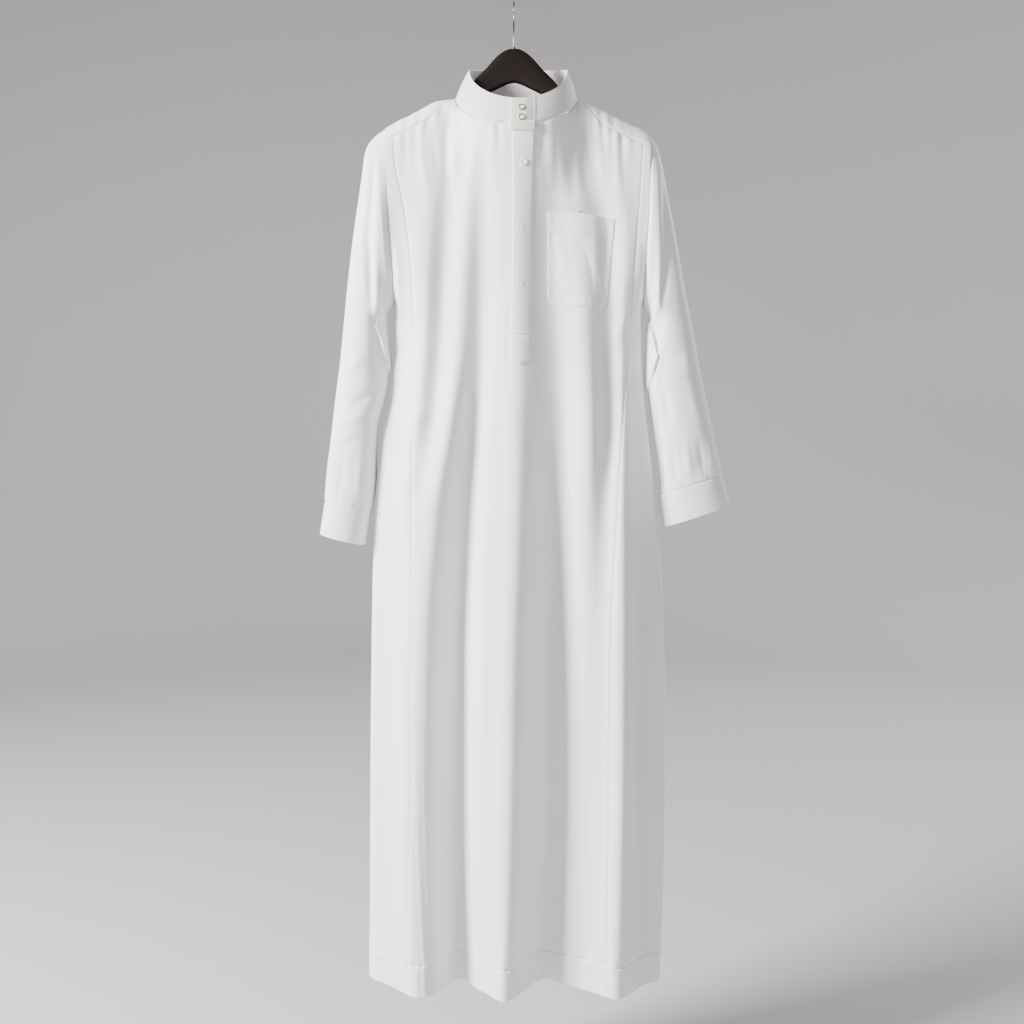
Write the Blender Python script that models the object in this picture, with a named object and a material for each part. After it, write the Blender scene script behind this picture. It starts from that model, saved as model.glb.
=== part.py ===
# White thobe robe hanging on a dark hanger, as separate sewn pieces.
# Frame: metres, +Z up, +X to the viewer's right, +Y away from the front.
# The origin is the inner top of the hook, where a rod would bear.
import math
from collections import namedtuple

import bpy
from mathutils import Vector
from mathutils.bvhtree import BVHTree

MM = 0.001

# Driving sizes, in metres
CLOTH = 1.4 * MM            # cloth wall
STIFF_CLOTH = 2.0 * MM      # interlined collar and cuffs
SEAM = 0.3 * MM             # gap between sewn pieces
NECK_X = 4 * MM             # middle of the neck opening
NECK_HALF = 97 * MM         # half width at the collar's base seam
NECK_FRONT = 66 * MM        # how far the base seam stands forward
NECK_BACK = 60 * MM         # how far it stands back
NECK_Z = -152 * MM          # height of the neck's side points
NECK_DROP = 57 * MM         # front neck below the side points
NECK_RISE = 22 * MM         # back neck above the side points
SHOULDER_ROUND = 45 * MM    # height in which the cloth rounds over the arm
YOKE_FRONT = 27 * MM        # yoke seam in front, below the ridge
YOKE_BACK_Z = -246 * MM     # yoke seam at the back
LEFT_TIP_Z = -201 * MM      # tops of the armholes
RIGHT_TIP_Z = -214 * MM
ARMPIT_Z = -480 * MM        # bottom of the armhole
ARMHOLE_HALF = 34 * MM      # half depth of the armhole
ARMHOLE_FULL_Z = -225 * MM  # below this the panels stand out past its edge
HEM_LEFT_Z = -1548 * MM
HEM_RIGHT_Z = -1556 * MM
EDGE_POWER = 0.8            # how full the sides of a body ring are
NECK_PULL = 40 * MM         # reach of the neck seam's pull on the front


def smoothstep(low, high, value):
    share = min(max((value - low) / (high - low), 0.0), 1.0)
    return share * share * (3.0 - 2.0 * share)


def along(places, values, place):
    """Smooth curve through the values, without overshoot."""
    last = len(places) - 1
    if place <= places[0]:
        return values[0]
    if place >= places[last]:
        return values[last]
    index = 0
    while place > places[index + 1]:
        index += 1
    steps = [(values[k + 1] - values[k]) / (places[k + 1] - places[k]) for k in range(last)]

    def slope(k):
        if k in (0, last):
            return steps[min(k, last - 1)]
        before, after = steps[k - 1], steps[k]
        if before * after <= 0.0:
            return 0.0
        return 2.0 * before * after / (before + after)

    span = places[index + 1] - places[index]
    t = (place - places[index]) / span
    return ((1 + 2 * t) * (1 - t) ** 2 * values[index]
            + t * (1 - t) ** 2 * span * slope(index)
            + t * t * (3 - 2 * t) * values[index + 1]
            + t * t * (t - 1) * span * slope(index + 1))


def column(table, name):
    return [getattr(row, name) for row in table]


# Body outline by depth below the hook, in mm: edges, panel seams and how
# far the front and back stand out at the sides of the neck
Ring = namedtuple("Ring", "down left right seam_left seam_right front back")
RINGS = [
    Ring(200, -205, 218, -193, 206, 25, 22),
    Ring(260, -201, 214, -187, 202, 30, 28),
    Ring(340, -197, 211, -171, 196, 36, 34),
    Ring(460, -190, 205, -159, 186, 41, 40),
    Ring(540, -191, 204, -158, 180, 44, 44),
    Ring(620, -196, 208, -158, 174, 46, 48),
    Ring(700, -213, 216, -158, 168, 48, 52),
    Ring(800, -222, 226, -158, 161, 50, 56),
    Ring(1000, -227, 240, -158, 150, 50, 60),
    Ring(1200, -229, 242, -158, 147, 50, 64),
    Ring(1400, -230, 239, -163, 145, 50, 66),
    Ring(1560, -231, 233, -166, 143, 50, 68),
]

# Folds of the front by depth below the hook, in mm: where each crest or
# trough runs, and its relief as a share of the fold size
FOLD_DOWN = [230, 400, 540, 660, 820, 1020, 1240, 1560]
Fold = namedtuple("Fold", "name across relief")
FRONT_FOLDS = [
    Fold("left dip", [-190, -182, -176, -182, -197, -198, -199, -200],
         [0, -0.3, -0.5, -0.3, -0.1, -0.1, 0.0, 0.2]),
    Fold("crest 1", [-112, -134, -139, -149, -170, -168, -166, -150],
         [0.9, 0.9, 0.9, 0.8, 0.6, 0.7, 0.8, 1.0]),
    Fold("trough 1", [-90, -107, -115, -125, -150, -155, -152, -138],
         [-0.5, -0.6, -0.6, -0.1, 0.7, 0.8, 0.8, 0.9]),
    Fold("crest 2", [-68, -78, -87, -100, -125, -138, -140, -125],
         [0.9, 0.9, 0.9, 1.0, 0.9, 0.8, 0.7, 0.6]),
    Fold("trough 2", [-50, -47, -50, -60, -72, -82, -86, -88],
         [-0.9, -0.9, -0.9, -1.0, -0.9, -0.9, -1.0, -1.0]),
    Fold("rise", [-34, -30, -28, -33, -42, -52, -54, -52],
         [0.3, 0.3, 0.3, 0.3, 0.4, 0.5, 0.3, 0.0]),
    Fold("crest 3", [0, 4, 4, 4, 3, -3, -8, -17],
         [1.0, 1.0, 1.0, 1.0, 1.0, 1.0, 1.0, 1.0]),
    Fold("trough 3", [58, 56, 64, 68, 66, 66, 64, 47],
         [-0.7, -1.0, -0.9, -0.9, -0.9, -0.9, -1.0, -1.1]),
    Fold("crest 4", [92, 106, 114, 120, 118, 116, 114, 95],
         [0.8, 0.9, 0.9, 0.8, 0.4, 0.1, -0.1, -0.3]),
    Fold("trough 4", [114, 150, 152, 152, 144, 136, 134, 125],
         [-0.9, -0.8, -0.8, -0.6, 0.1, 0.3, 0.2, 0.2]),
    Fold("crest 5", [150, 176, 170, 170, 168, 168, 166, 156],
         [0.5, 0.8, 0.9, 0.9, 1.0, 1.0, 1.0, 0.9]),
    Fold("trough 5", [196, 194, 190, 194, 208, 218, 216, 214],
         [0, -0.2, -0.3, -0.4, -0.6, -0.7, -0.6, -0.2]),
]
BACK_FOLDS = [
    Fold("back crest 1", [-150, -150, -150, -152, -158, -160, -160, -158],
         [0.3, 0.5, 0.6, 0.7, 0.8, 0.9, 0.9, 0.9]),
    Fold("back trough 1", [-95, -98, -100, -102, -104, -106, -108, -106],
         [-0.4, -0.6, -0.7, -0.8, -0.8, -0.9, -0.9, -0.9]),
    Fold("back crest 2", [-48, -50, -50, -50, -48, -46, -44, -42],
         [0.4, 0.6, 0.7, 0.8, 0.9, 1.0, 1.0, 1.0]),
    Fold("back trough 2", [2, 4, 6, 8, 10, 14, 16, 16],
         [-0.3, -0.6, -0.8, -0.9, -0.9, -0.9, -1.0, -1.0]),
    Fold("back crest 3", [58, 58, 60, 62, 68, 74, 78, 80],
         [0.4, 0.6, 0.8, 0.9, 1.0, 1.0, 1.0, 1.0]),
    Fold("back trough 3", [110, 112, 114, 116, 122, 128, 132, 134],
         [-0.4, -0.5, -0.6, -0.7, -0.8, -0.8, -0.9, -0.9]),
    Fold("back crest 4", [168, 168, 168, 170, 178, 186, 188, 186],
         [0.3, 0.4, 0.5, 0.6, 0.7, 0.8, 0.8, 0.8]),
]
FOLD_SIZE = [2.5, 6, 8, 12, 17, 23, 29, 36]
BACK_FOLD_SIZE = [1.5, 4, 6, 9, 14, 19, 24, 30]

# Ridge of the shoulders by distance from the middle, in mm
SHOULDER_ACROSS = [-237, -216, -189, -157, -118, -93, 101, 120, 138, 186, 210, 235]
SHOULDER_DOWN = [238, 208, 190, 174, 155, 152, 152, 160, 170, 194, 206, 235]

# Front and back stand-out of the middle by distance below the neck's side
# points, in mm
MIDDLE_DOWN = [57, 110, 190, 310, 470, 650, 850]
MIDDLE_FRONT = [66, 58, 50, 46, 46, 48, 50]


def ring_value(name, z):
    return along(column(RINGS, "down"), column(RINGS, name), -z / MM) * MM


def armhole_tip(x):
    return LEFT_TIP_Z if x < NECK_X else RIGHT_TIP_Z


def armhole_depth(x, z):
    """Half depth of the armhole at a height, and zero below and above it."""
    tip = armhole_tip(x)
    if z > tip or z < ARMPIT_Z:
        return 0.0
    turn = math.acos(1.0 - 2.0 * (tip - z) / (tip - ARMPIT_Z))
    return ARMHOLE_HALF * math.sin(turn) ** 0.7


def shoulder_z(x):
    return -along(SHOULDER_ACROSS, SHOULDER_DOWN, x / MM) * MM


def fold_relief(folds, sizes, x, z):
    down = -z / MM
    size = along(FOLD_DOWN, sizes, down)
    across = [fold_place(fold, down) for fold in folds]
    relief = [along(FOLD_DOWN, fold.relief, down) for fold in folds]
    places = [across[0] - 45] + across + [across[-1] + 45]
    values = [0.0] + relief + [0.0]
    return along_cosine(places, values, x / MM) * size * MM


def fold_place(fold, down):
    return along(FOLD_DOWN, fold.across, down)


def along_cosine(places, values, place):
    if place <= places[0] or place >= places[-1]:
        return 0.0
    index = 0
    while place > places[index + 1]:
        index += 1
    share = smoothstep(places[index], places[index + 1], place)
    return values[index] + (values[index + 1] - values[index]) * share


def across_share(x, z):
    left, right = ring_value("left", z), ring_value("right", z)
    place = (x - (left + right) / 2.0) / ((right - left) / 2.0)
    return min(max(place, -1.0), 1.0)


def plain_out(side, x, z):
    """How far the cloth stands out at a place, before the neck seam's pull."""
    ridge = shoulder_z(x)
    share = min(max(ridge - z, 0.0) / SHOULDER_ROUND, 1.0)
    rounding = math.sqrt(max(1.0 - (1.0 - share) ** 2, 0.0))
    depth = ring_value("back" if side > 0 else "front", z)
    if side < 0:
        middle = along(MIDDLE_DOWN, MIDDLE_FRONT, (NECK_Z - z) / MM) * MM
        spread = smoothstep(30 * MM, 120 * MM, abs(x - NECK_X))
        depth = middle + (depth - middle) * spread
    depth *= rounding
    edge = armhole_depth(x, z)
    if z < ARMHOLE_FULL_Z:
        depth = max(depth, edge + 1.0 * MM)
    fullness = (1.0 - across_share(x, z) ** 2) ** (EDGE_POWER / 2.0)
    fullness += (1.0 - fullness) * smoothstep(-300 * MM, -225 * MM, z)
    folds, sizes = (FRONT_FOLDS, FOLD_SIZE) if side < 0 else (BACK_FOLDS, BACK_FOLD_SIZE)
    calm = smoothstep(0.0, 60 * MM, ridge - z) * min(fullness * 1.6, 1.0)
    return edge + (depth - edge) * fullness + fold_relief(folds, sizes, x, z) * calm


def body_out(side, x, z):
    """How far the cloth stands out, drawn to the neck seam close to it."""
    out = plain_out(side, x, z)
    away = abs(x - NECK_X) / NECK_HALF
    if side > 0 or away >= 1.0:
        return out
    front = math.sqrt(1.0 - away * away)
    seam_z = NECK_Z - NECK_DROP * front
    pull = NECK_FRONT * front - plain_out(side, x, seam_z)
    return out + pull * math.exp(-max(seam_z - z, 0.0) / NECK_PULL)


def body_point(side, s, z):
    """Point on the body: side -1 front, 1 back; s runs -1 to 1 across."""
    left, right = ring_value("left", z), ring_value("right", z)
    x = (left + right) / 2.0 + (right - left) / 2.0 * math.sin(s * math.pi / 2.0)
    return Vector((x, side * body_out(side, x, z), z))


def body_share(x, z):
    return math.asin(across_share(x, z)) * 2.0 / math.pi


def body_normal(side, s, z):
    step_s = 0.008 + 0.11 * smoothstep(0.8, 1.0, abs(s))
    step_z = 1.5 * MM
    low, high = max(s - step_s, -1.0), min(s + step_s, 1.0)
    tangent = body_point(side, high, z) - body_point(side, low, z)
    down = body_point(side, s, z - step_z) - body_point(side, s, z + step_z)
    normal = tangent.cross(down)
    return (normal * side).normalized()


def hem_z(x):
    share = (x + 231 * MM) / (464 * MM)
    return HEM_LEFT_Z + (HEM_RIGHT_Z - HEM_LEFT_Z) * share


def neck_point(turn):
    """Base seam of the collar: turn 0 at the front, running to the right."""
    x = NECK_X + NECK_HALF * math.sin(turn)
    front = math.cos(turn)
    if front >= 0.0:
        return Vector((x, -NECK_FRONT * front, NECK_Z - NECK_DROP * front))
    return Vector((x, -NECK_BACK * front, NECK_Z - NECK_RISE * front))


def yoke_front_z(x):
    """Front yoke seam beside the neck, and the neck seam within it."""
    away = abs(x - NECK_X)
    if away < NECK_HALF:
        return NECK_Z - NECK_DROP * math.sqrt(1.0 - (away / NECK_HALF) ** 2)
    return shoulder_z(x) - YOKE_FRONT * smoothstep(NECK_HALF, NECK_HALF + 45 * MM, away)


def material(name, colour, roughness, metallic=0.0):
    made = bpy.data.materials.new(name)
    made.use_nodes = True
    shader = made.node_tree.nodes["Principled BSDF"]
    shader.inputs["Base Color"].default_value = (*colour, 1.0)
    shader.inputs["Roughness"].default_value = roughness
    shader.inputs["Metallic"].default_value = metallic
    return made


def add_object(name, points, faces, look):
    """Object from points and faces, turned so that its faces point out."""
    volume = 0.0
    for face in faces:
        for k in range(1, len(face) - 1):
            a, b, c = points[face[0]], points[face[k]], points[face[k + 1]]
            volume += a.dot(b.cross(c))
    if volume < 0.0:
        faces = [tuple(reversed(face)) for face in faces]
    mesh = bpy.data.meshes.new(name)
    mesh.from_pydata([tuple(point) for point in points], [], faces)
    mesh.validate()
    mesh.shade_smooth()
    mesh.set_sharp_from_angle(angle=math.radians(50))
    made = bpy.data.objects.new(name, mesh)
    bpy.context.scene.collection.objects.link(made)
    mesh.materials.append(look)
    return made


def grid_normals(rows, closed, outward):
    """Normals of a grid; outward is a point's rough outer direction."""
    count, width = len(rows), len(rows[0])
    normals = []
    for i in range(count):
        line = []
        for j in range(width):
            if closed:
                before, after = rows[i][j - 1], rows[i][(j + 1) % width]
            else:
                before, after = rows[i][max(j - 1, 0)], rows[i][min(j + 1, width - 1)]
            above, below = rows[max(i - 1, 0)][j], rows[min(i + 1, count - 1)][j]
            normal = (after - before).cross(below - above).normalized()
            if normal.dot(outward(i, j)) < 0.0:
                normal.negate()
            line.append(normal)
        normals.append(line)
    return normals


def wall(name, rows, normals, thickness, look, closed=False):
    """Closed wall under a grid of outer points, moved in by its thickness."""
    count, width = len(rows), len(rows[0])
    points = [point for row in rows for point in row]
    for row, line in zip(rows, normals):
        points += [point - normal * thickness for point, normal in zip(row, line)]
    inner = count * width
    faces = []
    spans = width if closed else width - 1

    def at(i, j):
        return i * width + j % width

    for i in range(count - 1):
        for j in range(spans):
            quad = (at(i, j), at(i, j + 1), at(i + 1, j + 1), at(i + 1, j))
            faces.append(quad)
            faces.append(tuple(inner + k for k in reversed(quad)))
    for j in range(spans):
        faces.append((at(0, j + 1), at(0, j), inner + at(0, j), inner + at(0, j + 1)))
        end = count - 1
        faces.append((at(end, j), at(end, j + 1), inner + at(end, j + 1), inner + at(end, j)))
    if not closed:
        for i in range(count - 1):
            faces.append((at(i, 0), at(i + 1, 0), inner + at(i + 1, 0), inner + at(i, 0)))
            far = width - 1
            faces.append((at(i + 1, far), at(i, far), inner + at(i, far), inner + at(i + 1, far)))
    triangles = []
    for face in faces:
        triangles.append((face[0], face[1], face[2]))
        triangles.append((face[0], face[2], face[3]))
    return add_object(name, points, triangles, look)


# Body panels

PANEL_ROWS = 23
CORNER_REACH = 24 * MM
CORNER_DROP = 1.2 * MM


def row_share(i, rows=PANEL_ROWS):
    """Rows lie closer together near the shoulders."""
    return (i / rows) ** 1.35


def edge_normal(side, s, z):
    """Panel normal, square to the side seam where front and back meet."""
    normal = body_normal(side, s, z)
    if abs(s) < 0.999:
        return normal
    sideways = Vector((math.copysign(1.0, s), 0.0, 0.0))
    share = smoothstep(0.0, 20 * MM, armhole_depth(s, z))
    return sideways.lerp(normal, share).normalized()


NECK_SHARES = (0.3013, 0.6879)              # of the front panel, at the neck sides
NECK_STEPS = (0.0, 0.006, 0.014, 0.024)


def even_parts(columns):
    return [j / columns for j in range(columns + 1)]


def front_parts(columns):
    """Columns of the front panel, closer where the neck seam turns up."""
    parts = even_parts(columns)
    for step in NECK_STEPS:
        parts.append(NECK_SHARES[0] + step)
        parts.append(NECK_SHARES[1] - step)
    return sorted(parts)


def panel_grid(side, left, right, top, parts, rows=PANEL_ROWS):
    """Outer points and normals of a body panel.

    left and right give the share across at a height, top the upper seam's
    height at a distance across, and parts the columns' places between.
    """
    starts, ends, shares = [], [], []
    for part in parts:
        z = -0.2
        for _ in range(24):
            s = left(z) + (right(z) - left(z)) * part
            z = 0.5 * z + 0.5 * top(body_point(side, s, z).x)
        starts.append(z)
        shares.append(s)
        low = HEM_LEFT_Z
        s = left(low) + (right(low) - left(low)) * part
        ends.append(hem_z(body_point(side, s, low).x))
    grid, normals = [], []
    for i in range(rows + 1):
        points, line = [], []
        for part, start, end in zip(parts, starts, ends):
            z = start + (end - start) * row_share(i, rows)
            s = left(z) + (right(z) - left(z)) * part
            point = body_point(side, s, z)
            point.y = side * max(abs(point.y), SEAM / 2.0)
            points.append(point)
            line.append(edge_normal(side, s, z))
        grid.append(points)
        normals.append(line)
    return grid, normals, shares


def seam_share(name, shift):
    """Share across of a panel seam, moved sideways by half its gap."""
    def share(z):
        return body_share(ring_value(name, z) + shift, z)
    return share


def left_edge(z):
    return -1.0


def right_edge(z):
    return 1.0


def front_top(x):
    """Top of the front panels, a little lower where three pieces meet."""
    corner = abs(abs(x - NECK_X) - NECK_HALF) / CORNER_REACH
    return yoke_front_z(x) - SEAM / 2.0 - CORNER_DROP * max(1.0 - corner, 0.0)


def back_top(x):
    return YOKE_BACK_Z - SEAM / 2.0


def body_panels(look):
    half = SEAM / 2.0
    plans = [
        ("front_panel", -1, seam_share("seam_left", half), seam_share("seam_right", -half), 28),
        ("front_gore_left", -1, left_edge, seam_share("seam_left", -half), 5),
        ("front_gore_right", -1, seam_share("seam_right", half), right_edge, 6),
        ("back_panel", 1, seam_share("seam_left", half), seam_share("seam_right", -half), 24),
        ("back_gore_left", 1, left_edge, seam_share("seam_left", -half), 5),
        ("back_gore_right", 1, seam_share("seam_right", half), right_edge, 6),
    ]
    front_shares = []
    for name, side, left, right, columns in plans:
        top = front_top if side < 0 else back_top
        parts = front_parts(columns) if name == "front_panel" else even_parts(columns)
        grid, normals, shares = panel_grid(side, left, right, top, parts)
        wall(name, grid, normals, CLOTH, look)
        if side < 0:
            inner = shares if name == "front_panel" else shares[1:-1]
            edge = {"front_gore_left": shares[:1], "front_gore_right": shares[-1:]}
            front_shares += inner + edge.get(name, [])
    return front_shares


# Yoke over the shoulders

YOKE_ROWS = 10


def back_neck_point(x):
    turn = math.asin(min(max((x - NECK_X) / NECK_HALF, -1.0), 1.0))
    return neck_point(math.pi - turn)


def neck_column(x):
    """Line of the yoke from the back of the neck to its back seam."""
    line = []
    start = back_neck_point(x)
    end = YOKE_BACK_Z + SEAM / 2.0
    steps = 24
    offset = start.y - body_out(1, x, start.z)
    for k in range(steps + 1):
        z = start.z + (end - start.z) * k / steps
        share = 1.0 - smoothstep(0.0, 85 * MM, start.z - z)
        line.append(Vector((x, body_out(1, x, z) + offset * share, z)))
    return line


def shoulder_column(s):
    """Line of the yoke from its front seam over the ridge to its back seam."""
    ridge = front = -0.2
    for _ in range(12):
        ridge = shoulder_z(body_point(-1, s, ridge).x)
        front = 0.5 * front + 0.5 * (yoke_front_z(body_point(-1, s, front).x) + SEAM / 2.0)
    ahead, behind = [], []
    steps = 12
    turn = math.acos(min(max(1.0 - (ridge - front) / SHOULDER_ROUND, 0.0), 1.0))
    for k in range(steps + 1):
        z = ridge - SHOULDER_ROUND * (1.0 - math.cos(turn * (1.0 - k / steps)))
        ahead.append(body_point(-1, s, z))
    end = YOKE_BACK_Z + SEAM / 2.0
    reach = min(SHOULDER_ROUND, ridge - end)
    for k in range(steps + 1):
        z = ridge - reach * (1.0 - math.cos(math.pi / 2.0 * k / steps))
        behind.append(body_point(1, s, z))
    below = ridge - reach
    for k in range(1, 5):
        behind.append(body_point(1, s, below + (end - below) * k / 4))
    front_rows = YOKE_ROWS // 3
    return resampled(ahead, front_rows)[:-1] + resampled(behind, YOKE_ROWS - front_rows)


def resampled(line, count):
    lengths = [0.0]
    for before, after in zip(line, line[1:]):
        lengths.append(lengths[-1] + (after - before).length)
    points = []
    for k in range(count + 1):
        goal = lengths[-1] * k / count
        index = 0
        while index < len(line) - 2 and lengths[index + 1] < goal:
            index += 1
        span = max(lengths[index + 1] - lengths[index], 1e-9)
        points.append(line[index].lerp(line[index + 1], min((goal - lengths[index]) / span, 1.0)))
    return points


def yoke(shares, look):
    """One piece over both shoulders; shares are the front seam's columns."""
    lines = []
    for s in shares:
        x = body_point(-1, s, -0.2).x
        if abs(x - NECK_X) > NECK_HALF + 4 * MM:
            lines.append((x, s, shoulder_column(s)))
    turns = 14
    for k in range(turns + 1):
        x = NECK_X - NECK_HALF * math.cos(math.pi * k / turns)
        lines.append((x, body_share(x, YOKE_BACK_Z), resampled(neck_column(x), YOKE_ROWS)))
    lines.sort(key=lambda item: item[0])
    grid = [[points[i] for _, _, points in lines] for i in range(YOKE_ROWS + 1)]

    def outward(i, j):
        point = grid[i][j]
        return Vector((0.0, point.y, 0.02))

    normals = grid_normals(grid, False, outward)
    for j, (x, s, _) in enumerate(lines):
        if abs(x - NECK_X) > NECK_HALF + CORNER_REACH / 2.0:
            normals[0][j] = body_normal(-1, s, grid[0][j].z)
        normals[-1][j] = body_normal(1, s, grid[-1][j].z)
    wall("yoke", grid, normals, CLOTH, look)


# Sleeves: outer and inner line of each section, and its half depth, in mm

Section = namedtuple("Section", "outer_x outer_down inner_x inner_down depth")
LEFT_SLEEVE = [
    Section(-217, 209, -196, 488, 34),
    Section(-231, 224, -199, 494, 34),
    Section(-237, 239, -201, 500, 34),
    Section(-243, 283, -202, 512, 34),
    Section(-251, 341, -202, 530, 34),
    Section(-258, 400, -201, 552, 34),
    Section(-266, 461, -199, 580, 35),
    Section(-272, 518, -200, 606, 36),
    Section(-278, 578, -207, 640, 37),
    Section(-285, 634, -215, 668, 37),
    Section(-292, 698, -219, 714, 37),
    Section(-299, 758, -221, 770, 36),
    Section(-301, 794, -227, 811, 36),
]
RIGHT_SLEEVE = [
    Section(224, 214, 210, 488, 34),
    Section(229, 232, 213, 494, 34),
    Section(236, 258, 215, 500, 34),
    Section(243, 293, 216, 510, 34),
    Section(250, 331, 215, 525, 34),
    Section(262, 400, 213, 548, 34),
    Section(274, 463, 211, 578, 35),
    Section(284, 512, 212, 606, 36),
    Section(297, 586, 216, 640, 37),
    Section(307, 634, 220, 672, 37),
    Section(321, 698, 226, 722, 37),
    Section(328, 732, 229, 758, 36),
    Section(332, 752, 231, 784, 36),
]
LEFT_CUFF_END = Section(-309, 846, -237, 864, 36)
RIGHT_CUFF_END = Section(344, 799, 238, 835, 36)
SLEEVE_AROUND = 18
SLEEVE_ROWS = 20
ROLL_OUT = 12 * MM          # how far the roll beside the armhole stands out
ROLL_HALF = 15 * MM
HOLLOW_DEPTH = 7 * MM       # of the sleeve below the roll
HOLLOW_START_Z = -560 * MM
HOLLOW_END_Z = -640 * MM
SLEEVE_GAP = 0.7 * MM       # from the armhole edge, clear of its curve
ROLL_LEFT_X = -211 * MM
ROLL_RIGHT_X = 224 * MM


def armhole_point(hand, turn):
    """Armhole loop: turn 0 at the shoulder, running down the front."""
    tip = armhole_tip(hand)
    z = tip - (tip - ARMPIT_Z) * (1.0 - math.cos(turn)) / 2.0
    depth = ARMHOLE_HALF * abs(math.sin(turn)) ** 0.7
    x = ring_value("left" if hand < 0 else "right", z) + hand * SLEEVE_GAP
    return Vector((x, -math.copysign(depth, math.sin(turn)), z))


def section_point(hand, section, turn):
    outer = Vector((section.outer_x, 0.0, -section.outer_down)) * MM
    inner = Vector((section.inner_x, 0.0, -section.inner_down)) * MM
    middle, reach = (outer + inner) / 2.0, (outer - inner) / 2.0
    depth = section.depth * MM * abs(math.sin(turn)) ** 0.8
    point = middle + reach * math.cos(turn)
    roll_x = ROLL_LEFT_X if hand < 0 else ROLL_RIGHT_X
    roll = math.exp(-((point.x - roll_x) / ROLL_HALF) ** 2) * abs(math.sin(turn)) ** 0.5
    low = smoothstep(-515 * MM, -485 * MM, point.z)
    sunk = smoothstep(HOLLOW_END_Z, HOLLOW_START_Z, point.z)
    depth += ROLL_OUT * roll * low - HOLLOW_DEPTH * roll * (1.0 - low) * sunk
    point.y = -math.copysign(depth, math.sin(turn))
    return point


def sleeve_grid(hand, rows, around):
    table = LEFT_SLEEVE if hand < 0 else RIGHT_SLEEVE
    places = list(range(len(table)))
    grid = [[armhole_point(hand, 2.0 * math.pi * j / around) for j in range(around)]]
    for i in range(rows):
        place = places[-1] * (i / (rows - 1))
        values = [along(places, column(table, name), place) for name in Section._fields]
        section = Section(*values)
        grid.append([section_point(hand, section, 2.0 * math.pi * j / around)
                     for j in range(around)])
    return grid


def outward_from_middle(grid):
    middles = [sum(row, Vector()) / len(row) for row in grid]

    def outward(i, j):
        return grid[i][j] - middles[i]
    return outward


def sleeves(look, cuff_look):
    for hand, label in ((-1, "left"), (1, "right")):
        grid = sleeve_grid(hand, SLEEVE_ROWS, SLEEVE_AROUND)
        wall("sleeve_" + label, grid, grid_normals(grid, True, outward_from_middle(grid)),
             CLOTH, look, closed=True)
        start = (LEFT_SLEEVE if hand < 0 else RIGHT_SLEEVE)[-1]
        end = LEFT_CUFF_END if hand < 0 else RIGHT_CUFF_END
        rows = []
        for share in (0.008, 0.3, 0.65, 1.0):
            values = [a + (b - a) * share for a, b in zip(start, end)]
            section = Section(*values)
            rows.append([section_point(hand, section, 2.0 * math.pi * j / SLEEVE_AROUND)
                         for j in range(SLEEVE_AROUND)])
        wall("cuff_" + label, rows, grid_normals(rows, True, outward_from_middle(rows)),
             STIFF_CLOTH, cuff_look, closed=True)


# Collar band, its overlap, placket, pocket, snaps and button

COLLAR_TOP_X = 7 * MM
COLLAR_TOP_HALF = 78 * MM
COLLAR_TOP_FRONT = 58 * MM
COLLAR_TOP_BACK = 52 * MM
COLLAR_SIDE_Z = -105 * MM
COLLAR_FRONT_DROP = 64 * MM
COLLAR_BACK_RISE = 17 * MM
COLLAR_GAP = 1.1 * MM


def collar_point(turn, share):
    """Outer side of the band: share 0 at the base seam, 1 at the top edge."""
    base = neck_point(turn) + Vector((0.0, 0.0, COLLAR_GAP))
    front = math.cos(turn)
    depth = COLLAR_TOP_FRONT if front >= 0.0 else COLLAR_TOP_BACK
    height = COLLAR_FRONT_DROP if front >= 0.0 else COLLAR_BACK_RISE
    top = Vector((COLLAR_TOP_X + COLLAR_TOP_HALF * math.sin(turn), -depth * front,
                  COLLAR_SIDE_Z - height * front))
    bulge = 1.5 * MM * math.sin(math.pi * share)
    point = base.lerp(top, share)
    return point + Vector((math.sin(turn), -front, 0.0)) * bulge


def collar(look):
    around = 32
    rows = [[collar_point(2.0 * math.pi * j / around, share) for j in range(around)]
            for share in (0.0, 0.33, 0.66, 1.0)]
    wall("collar", rows, grid_normals(rows, True, outward_from_middle(rows)), STIFF_CLOTH, look,
         closed=True)


PLACKET_WALL = 1.4 * MM
# Sides of the placket by depth below the hook, in mm
PLACKET_DOWN = [212, 340, 450, 560]
PLACKET_LEFT = [-3, -2, -3, -5]
PLACKET_RIGHT = [32, 28, 26, 25]
PLACKET_TOP_Z = -212 * MM
PLACKET_END_Z = -573 * MM
PLACKET_POINT = 8 * MM


def front_tree(names):
    """Search tree of the named pieces, to lay other pieces on them."""
    points, faces = [], []
    for name in names:
        mesh = bpy.data.objects[name].data
        first = len(points)
        points += [vertex.co.copy() for vertex in mesh.vertices]
        faces += [tuple(first + k for k in face.vertices) for face in mesh.polygons]
    return BVHTree.FromPolygons(points, faces)


def front_y(tree, x, z):
    """Front of the pieces below at a place, or None beside them."""
    hit = tree.ray_cast(Vector((x, -1.0, z)), Vector((0.0, 1.0, 0.0)))[0]
    return hit.y if hit else None


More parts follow.
